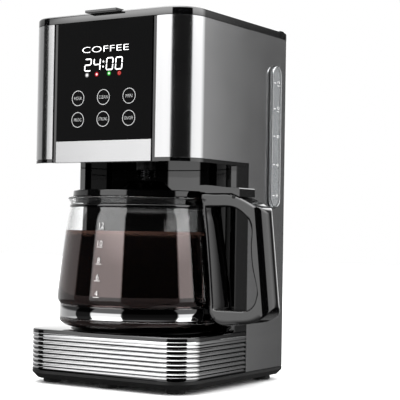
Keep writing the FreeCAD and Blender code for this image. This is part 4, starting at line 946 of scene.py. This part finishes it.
class COFFEE_OT_glass(bpy.types.Operator):
    """Builds the carafe's glass, its bands, the coffee and the cup marks"""

    bl_idname = "coffee.glass"
    bl_label = "Carafe glass"

    def execute(self, context):
        sizes = context.scene.coffee_carafe
        profile = np.vstack([GLASS_OUTER, GLASS_INNER]) * MM
        glass = grid_piece("glass_bowl", turned(profile, 192), sharp=60.0)
        settled(glass, "carafe", finish("Carafe Glass"), ["carafe_glass"])
        self.coffee(sizes.coffee_level)
        self.bands()
        self.marks(sizes.mark_angle)
        return {"FINISHED"}

    def coffee(self, level):
        """The coffee: the glass's inner face pushed out a hair, up to the level, then a meniscus and a flat top."""
        inner = GLASS_INNER[::-1] * MM
        wall = inner[inner[:, 1] < level]
        radius = np.interp(level, inner[4:, 1], inner[4:, 0])
        bite = 0.1 * MM
        body = np.column_stack([np.where(wall[:, 0] > 0, wall[:, 0] + bite, 0.0), wall[:, 1] - bite])
        top = np.array([(radius + bite, level), (radius - 1.2 * MM, level - 0.9 * MM),
                        (radius - 3.0 * MM, level - 1.2 * MM), (0.0, level - 1.2 * MM)])
        piece = grid_piece("coffee", turned(np.vstack([body, top]), 160), sharp=50.0)
        settled(piece, "carafe", finish("Brewed Coffee"))

    def bands(self):
        """The bright clamp band with its rolled lips, and the narrow strap at the neck."""
        profile = np.array([
            (78.35, 62.4), (79.1, 62.4), (79.5, 62.7), (79.5, 63.2), (79.15, 63.7), (79.1, 68.2), (79.15, 72.7),
            (79.5, 73.2), (79.5, 73.7), (79.1, 74.0), (78.35, 74.0)]) * MM
        band = grid_piece("clamp_band", turned(profile, 192), close_rows=True, sharp=40.0)
        settled(band, "carafe", finish("Bright Chrome"), ["carafe_band"])
        profile = np.array([
            (70.5, 164.2), (71.1, 164.2), (71.3, 164.6), (71.3, 166.2), (71.1, 166.6), (70.5, 166.6)]) * MM
        strap = grid_piece("neck_strap", turned(profile, 160), close_rows=True, sharp=40.0)
        settled(strap, "carafe", finish("Gloss Black"), ["neck_band"])

    def marks(self, angle):
        """Numbers and lines laid on the glass: round it the width is an angle, and the radius follows the wall."""
        outer = GLASS_OUTER[16:] * MM

        def place(u, v, depth, z):
            height = z + v
            radius = np.interp(height, outer[:14, 1], outer[:14, 0]) + 0.06 * MM + depth
            turn = angle + u / (78.0 * MM)
            return np.stack([radius * np.cos(turn), CARAFE_Y + radius * np.sin(turn), height], 1)

        pieces = []
        for cups, z in CUP_MARKS:
            at = (z + 3.0) * MM
            pieces.append(lettering("mark", str(cups), None, 4.7, lambda u, v, d, at=at: place(u, v, d, at), 0.02))
            x = np.linspace(-3.1, 3.1, 7) * MM
            rows = [(-0.2, 0.0), (0.2, 0.0), (0.2, 0.06), (-0.2, 0.06)]
            points = np.stack([place(x, np.full(7, v * MM), np.full(7, d * MM), (z - 0.4) * MM) for v, d in rows])
            pieces.append(grid_piece("line", points, close_rows=True, close_columns=False, cap="columns"))
        settled(joined("cup_marks", pieces), "carafe", finish("Mark Print"))


def glass_radius(height):
    """Outer radius of the carafe at a height, bands included, by straight pieces between the profile's points."""
    rising = GLASS_OUTER[3:35] * MM
    radius = np.interp(height, rising[:, 1], rising[:, 0])
    return np.maximum(radius, np.where((height > 61e-3) & (height < 75.4e-3), 79.7e-3, 0.0))


class COFFEE_OT_handle(bpy.types.Operator):
    """Builds the handle"""

    bl_idname = "coffee.handle"
    bl_label = "Handle"

    def execute(self, context):
        """Cross-section rows: a rounded rectangle between the outside and the opening, and between the two cheeks.

        point = outside + (opening - outside) * a, with y across; (a, y) runs round the rectangle. The outside is
        held behind a half-round crest: n . point <= crest - fall (1 - sqrt(1 - t^2)), t = y over the half width."""
        low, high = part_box("handle")
        edge = context.scene.coffee_carafe.handle_edge
        outside = smooth_loop(HANDLE_OUTSIDE, 8) * MM
        opening = smooth_loop(HANDLE_OPENING, 8) * MM
        run = np.linalg.norm(opening - outside, axis=1)[None]
        bend = np.minimum(edge, run * 0.42)
        half = (high.y - low.y) / 2
        turn = np.linspace(0.0, math.pi / 2, 5)[:, None]
        inward, level = bend * (1 - np.sin(turn)), half - bend * (1 - np.cos(turn))
        lean = np.sin(np.linspace(-1.35, 1.35, 23))[:, None]
        crest_rows = (half - bend) * lean
        depth = np.vstack([inward, 0 * crest_rows, inward[::-1], run - inward, run - inward[::-1]])
        across = np.vstack([-level, crest_rows, level[::-1], level, -level[::-1]])
        flat = outside[None] + (opening - outside)[None] * (depth / run)[..., None]
        points = np.dstack([flat[..., 0], (high.y + low.y) / 2 + across, flat[..., 1]])
        top, bottom = HANDLE_OUTSIDE[CREST_TOP] * MM, HANDLE_OUTSIDE[CREST_BOTTOM] * MM
        along = (bottom - top) / np.linalg.norm(bottom - top)
        out = np.array([-along[1], along[0]])
        fall = 9.5 * MM * (1 - np.sqrt(np.maximum(1 - (across / (half + 0.05 * MM)) ** 2, 0.0)))
        over = np.maximum(points[..., 0] * out[0] + points[..., 2] * out[1] - (out @ top - fall), 0.0)
        points[..., 0] -= over * out[0]
        points[..., 2] -= over * out[1]
        clear = glass_radius(points[..., 2]) + 0.35 * MM
        clear = np.where(points[..., 2] > 174e-3, np.maximum(clear, 71.4 * MM), clear)
        face = np.sqrt(np.maximum(clear**2 - (points[..., 1] - CARAFE_Y) ** 2, 0.0))
        points[..., 0] = np.maximum(points[..., 0], face)
        piece = grid_piece("handle_moulding", points, close_rows=True, sharp=32.0)
        settled(piece, "carafe", finish("Gloss Black"), ["handle"])
        return {"FINISHED"}


class COFFEE_OT_carafe_lid(bpy.types.Operator):
    """Builds the carafe's lid with its drip dome and lever"""

    bl_idname = "coffee.carafe_lid"
    bl_label = "Carafe lid"

    def execute(self, context):
        profile = np.array([
            (0.0, 176.4), (63.9, 176.4), (64.0, 168.2), (64.3, 168.0), (65.8, 168.0), (66.0, 168.2), (66.1, 174.4),
            (68.0, 174.4), (68.4, 174.8), (68.1, 179.5), (67.7, 180.0), (67.2, 180.2), (66.0, 180.2), (65.4, 179.9),
            (64.8, 179.5), (28.5, 179.5), (27.5, 179.7), (26.7, 180.4), (25.8, 181.6), (18.2, 188.6), (17.2, 189.5),
            (16.0, 189.9), (14.8, 190.0), (12.6, 189.8), (11.8, 189.0), (0.0, 188.6)]) * MM
        disc = grid_piece("disc", turned(profile, 160), sharp=35.0)
        low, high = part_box("handle")
        lever = slab_piece("lever", LEVER_SIDE * MM, low.y, high.y, axis="y", edge=0.0)
        plan = np.array([(46.0, -34.0), (76.0, -34.0), (76.0, -14.0), (46.0, -14.0)]) * MM
        neck = slab_piece("neck", plan, 179.2 * MM, 183.2 * MM, edge=0.0)
        piece = joined("carafe_lid_moulding", [disc, lever, neck])
        settled(piece, "carafe_lid", finish("Gloss Black"), ["carafe_lid"])
        return {"FINISHED"}


SLOT_FINISHES = {
    "black_plastic": "Matt Black", "rubber": "Rubber", "chrome": "Bright Chrome", "gloss_black": "Gloss Black",
    "coated_steel": "Plate Coating", "silicone": "Black Silicone", "cast_aluminium": "Cast Aluminium",
    "zinc_steel": "Zinc Steel", "white_plastic": "White Plastic", "board_green": "Solder Mask",
    "stainless": "Stainless Sheet", "panel_glass": "Panel Glass", "polished_trim": "Satin Bar",
    "display_black": "Smoked Display", "tank_plastic": "Tank Plastic", "gauge_clear": "Gauge Window",
    "gauge_grey": "Gauge Back", "hose_silicone": "Pale Silicone", "filter_mesh": "Filter Mesh",
    "carafe_glass": "Carafe Glass",
}


# drip_stem and drip_spring take darker finishes than their slots: painted shade, standing in for the shade under the
# brew head.
NODE_FINISHES = {
    "drip_stem": "Matt Black", "drip_spring": "Painted Shade Wire", "carafe_lid_pin": "Matt Black", "valve_ball": "Zinc Steel",
}


class COFFEE_OT_inner_parts(bpy.types.Operator):
    """Gives every part that keeps its own shape its finish"""

    bl_idname = "coffee.inner_parts"
    bl_label = "Other parts"

    def execute(self, context):
        for entry in frame["record"]["subparts"]:
            node = frame["nodes"][entry["node"]]
            coat = finish(NODE_FINISHES.get(entry["node"], SLOT_FINISHES[entry["material_slot"]]))
            for place in node.material_slots:
                place.material = coat
        return {"FINISHED"}


class COFFEE_OT_studio(bpy.types.Operator):
    """Builds the floor, the light tent, the overhead light and the camera"""

    bl_idname = "coffee.studio"
    bl_label = "Studio"

    def execute(self, context):
        studio = context.scene.coffee_studio
        self.floor(studio)
        self.tent(context.scene, studio)
        self.overhead(studio)
        self.camera(context.scene)
        context.scene.view_settings.view_transform = "Standard"
        return {"FINISHED"}

    def floor(self, studio):
        """A wide level sheet under the feet."""
        half = studio.floor_size
        side = np.linspace(-half, half, 3)
        points = np.dstack([*np.meshgrid(side, side), np.full((3, 3), -0.02 * MM)])
        piece = grid_piece("studio_floor", points, close_columns=False)
        work = piece.data
        if work.polygons[0].normal.z < 0:
            work.flip_normals()
        material = surface("Studio Floor", "Moulded Grain", tuple(studio.floor_colour), (0.6, 0.7), 0.0, 1e-5, 0.0)
        work.materials.append(material)
        self.dim_in_reflections(material, tuple(studio.floor_colour))
        piece.visible_glossy = False

    def dim_in_reflections(self, material, colour):
        """Darkens the floor for light that has already been mirrored once, so the glass shows no white rim: painted
        shade, standing in for the shade on the floor round the machine.
        """
        tree = material.node_tree
        shader = tree.nodes["Principled BSDF"]
        mirrored = tree.nodes.new("ShaderNodeLightPath").outputs["Glossy Depth"]
        tree.links.new(colour_mix(tree, mirrored, colour, (0.02, 0.02, 0.02)), shader.inputs["Base Color"])

    def tent(self, scene, studio):
        """A light tent as the world: white cloths at some bearings, gaps between them, and a bright top."""
        world = bpy.data.worlds.new("Light Tent")
        world.use_nodes = True
        scene.world = world
        tree = world.node_tree
        tree.nodes.clear()
        split = tree.nodes.new("ShaderNodeSeparateXYZ")
        tree.links.new(tree.nodes.new("ShaderNodeTexCoord").outputs["Generated"], split.inputs[0])
        back = math_node(tree, "MULTIPLY", split.outputs[1], -1.0)
        bearing = math_node(tree, "ARCTAN2", split.outputs[0], back)
        along = math_node(tree, "MULTIPLY_ADD", bearing, 1 / (2 * math.pi))
        along.node.inputs[2].default_value = 0.5
        ramp = tree.nodes.new("ShaderNodeValToRGB")
        ramp.color_ramp.interpolation = "LINEAR"
        tree.links.new(along, ramp.inputs["Fac"])
        elements = ramp.color_ramp.elements
        while len(elements) < len(TENT_STOPS):
            elements.new(0.5)
        for element, (degrees, value) in zip(elements, TENT_STOPS):
            element.position = (degrees + 180.0) / 360.0
            element.color = (value, value, value, 1.0)
        lift = smooth_step(tree, split.outputs[2], (0.45, 0.8))
        cloth = colour_mix(tree, lift, ramp.outputs[0], (1.0, 1.0, 1.0))
        higher = smooth_step(tree, split.outputs[2], (0.15, 0.26), (1.0, 1.9))
        lower = smooth_step(tree, split.outputs[2], (-0.24, -0.11), (0.12, 1.0))
        gain = math_node(tree, "MULTIPLY", math_node(tree, "MULTIPLY", higher, lower), studio.tent_strength)
        lit = tree.nodes.new("ShaderNodeBackground")
        tree.links.new(gain, lit.inputs["Strength"])
        tree.links.new(cloth, lit.inputs["Color"])
        white = tree.nodes.new("ShaderNodeBackground")
        white.inputs["Color"].default_value = (1.0, 1.0, 1.0, 1.0)
        choose = tree.nodes.new("ShaderNodeMixShader")
        tree.links.new(tree.nodes.new("ShaderNodeLightPath").outputs["Is Camera Ray"], choose.inputs[0])
        tree.links.new(lit.outputs[0], choose.inputs[1])
        tree.links.new(white.outputs[0], choose.inputs[2])
        tree.links.new(choose.outputs[0], tree.nodes.new("ShaderNodeOutputWorld").inputs["Surface"])

    def overhead(self, studio):
        """A large soft light above and in front."""
        light = bpy.data.lights.new("overhead", "AREA")
        light.shape = "RECTANGLE"
        light.size, light.size_y = 1.6, 1.2
        light.energy = studio.top_strength
        holder = bpy.data.objects.new("overhead", light)
        holder.location = (-0.2, -0.5, 1.6)
        aim = Vector((0.0, 0.0, 0.15)) - holder.location
        holder.rotation_euler = aim.to_track_quat("-Z", "Y").to_euler()
        bpy.context.scene.collection.objects.link(holder)

    def camera(self, scene):
        """The camera: placed by its bearing, rise and roll about a point of the machine."""
        bearing, rise, roll = (math.radians(a) for a in CAMERA_ANGLES)
        back = Vector((math.sin(bearing) * math.cos(rise), -math.cos(bearing) * math.cos(rise), math.sin(rise)))
        right = Vector((math.cos(bearing), math.sin(bearing), 0.0))
        up = back.cross(right)
        level_right = right * math.cos(roll) + up * math.sin(roll)
        level_up = up * math.cos(roll) - right * math.sin(roll)
        place = right * CAMERA_SIDE + Vector((0.0, 0.0, CAMERA_HEIGHT)) + back * CAMERA_DISTANCE
        view = bpy.data.cameras.new("camera")
        view.lens = CAMERA_LENS
        view.sensor_width = 36.0
        view.clip_start = 0.05
        holder = bpy.data.objects.new("camera", view)
        turn = Matrix((level_right, level_up, back)).transposed().to_4x4()
        holder.matrix_world = Matrix.Translation(place) @ turn
        scene.collection.objects.link(holder)
        scene.camera = holder


CAMERA_ANGLES = (32.139, -1.403, 0.947)
CAMERA_SIDE = 39.144 * MM
CAMERA_HEIGHT = 173.704 * MM
CAMERA_DISTANCE = 1193.249 * MM
CAMERA_LENS = 111.13
TENT_STOPS = (
    (-180.0, 1.0), (-146.0, 1.0), (-112.0, 0.45), (-90.0, 0.30), (-70.0, 0.28), (-69.0, 0.01), (-41.5, 0.01),
    (-40.5, 1.0), (4.0, 1.0), (5.0, 0.005), (82.0, 0.005), (84.0, 0.9), (126.0, 1.0), (140.0, 0.55), (147.0, 0.20),
    (149.0, 0.10), (152.0, 0.06), (166.0, 0.05), (176.0, 0.4), (180.0, 1.0),
)


class COFFEE_PT_sidebar(bpy.types.Panel):
    """Lists the settings and the steps that build the coffee maker"""

    bl_idname = "COFFEE_PT_sidebar"
    bl_label = "Drip Coffee Maker"
    bl_space_type = "VIEW_3D"
    bl_region_type = "UI"
    bl_category = "Coffee"

    def draw(self, context):
        layout = self.layout
        for group in SETTINGS:
            box = layout.box()
            holder = getattr(context.scene, group)
            for key in SETTINGS[group].__annotations__:
                box.prop(holder, key)
        for operator in STEPS:
            layout.operator(operator.bl_idname)


SETTINGS = {
    "coffee_casing": CasingSizes, "coffee_carafe": CarafeSizes, "coffee_tones": ToneSettings,
    "coffee_studio": StudioSettings,
}
STEPS = (
    COFFEE_OT_finishes, COFFEE_OT_inner_parts, COFFEE_OT_base, COFFEE_OT_column, COFFEE_OT_steel, COFFEE_OT_panel,
    COFFEE_OT_prints, COFFEE_OT_lid, COFFEE_OT_gauge, COFFEE_OT_glass, COFFEE_OT_handle, COFFEE_OT_carafe_lid,
    COFFEE_OT_studio,
)
CLASSES = (*SETTINGS.values(), *STEPS, COFFEE_PT_sidebar)


def register():
    """Registers the classes and hangs the settings on the scene."""
    for item in CLASSES:
        bpy.utils.register_class(item)
    for name, group in SETTINGS.items():
        setattr(bpy.types.Scene, name, bpy.props.PointerProperty(type=group))


def unregister():
    """Takes the settings and the classes away again."""
    for name in SETTINGS:
        delattr(bpy.types.Scene, name)
    for item in reversed(CLASSES):
        bpy.utils.unregister_class(item)


def main():
    """Builds everything in order."""
    register()
    for step in STEPS:
        family, action = step.bl_idname.split(".")
        getattr(getattr(bpy.ops, family), action)()


if __name__ == "__main__":
    main()
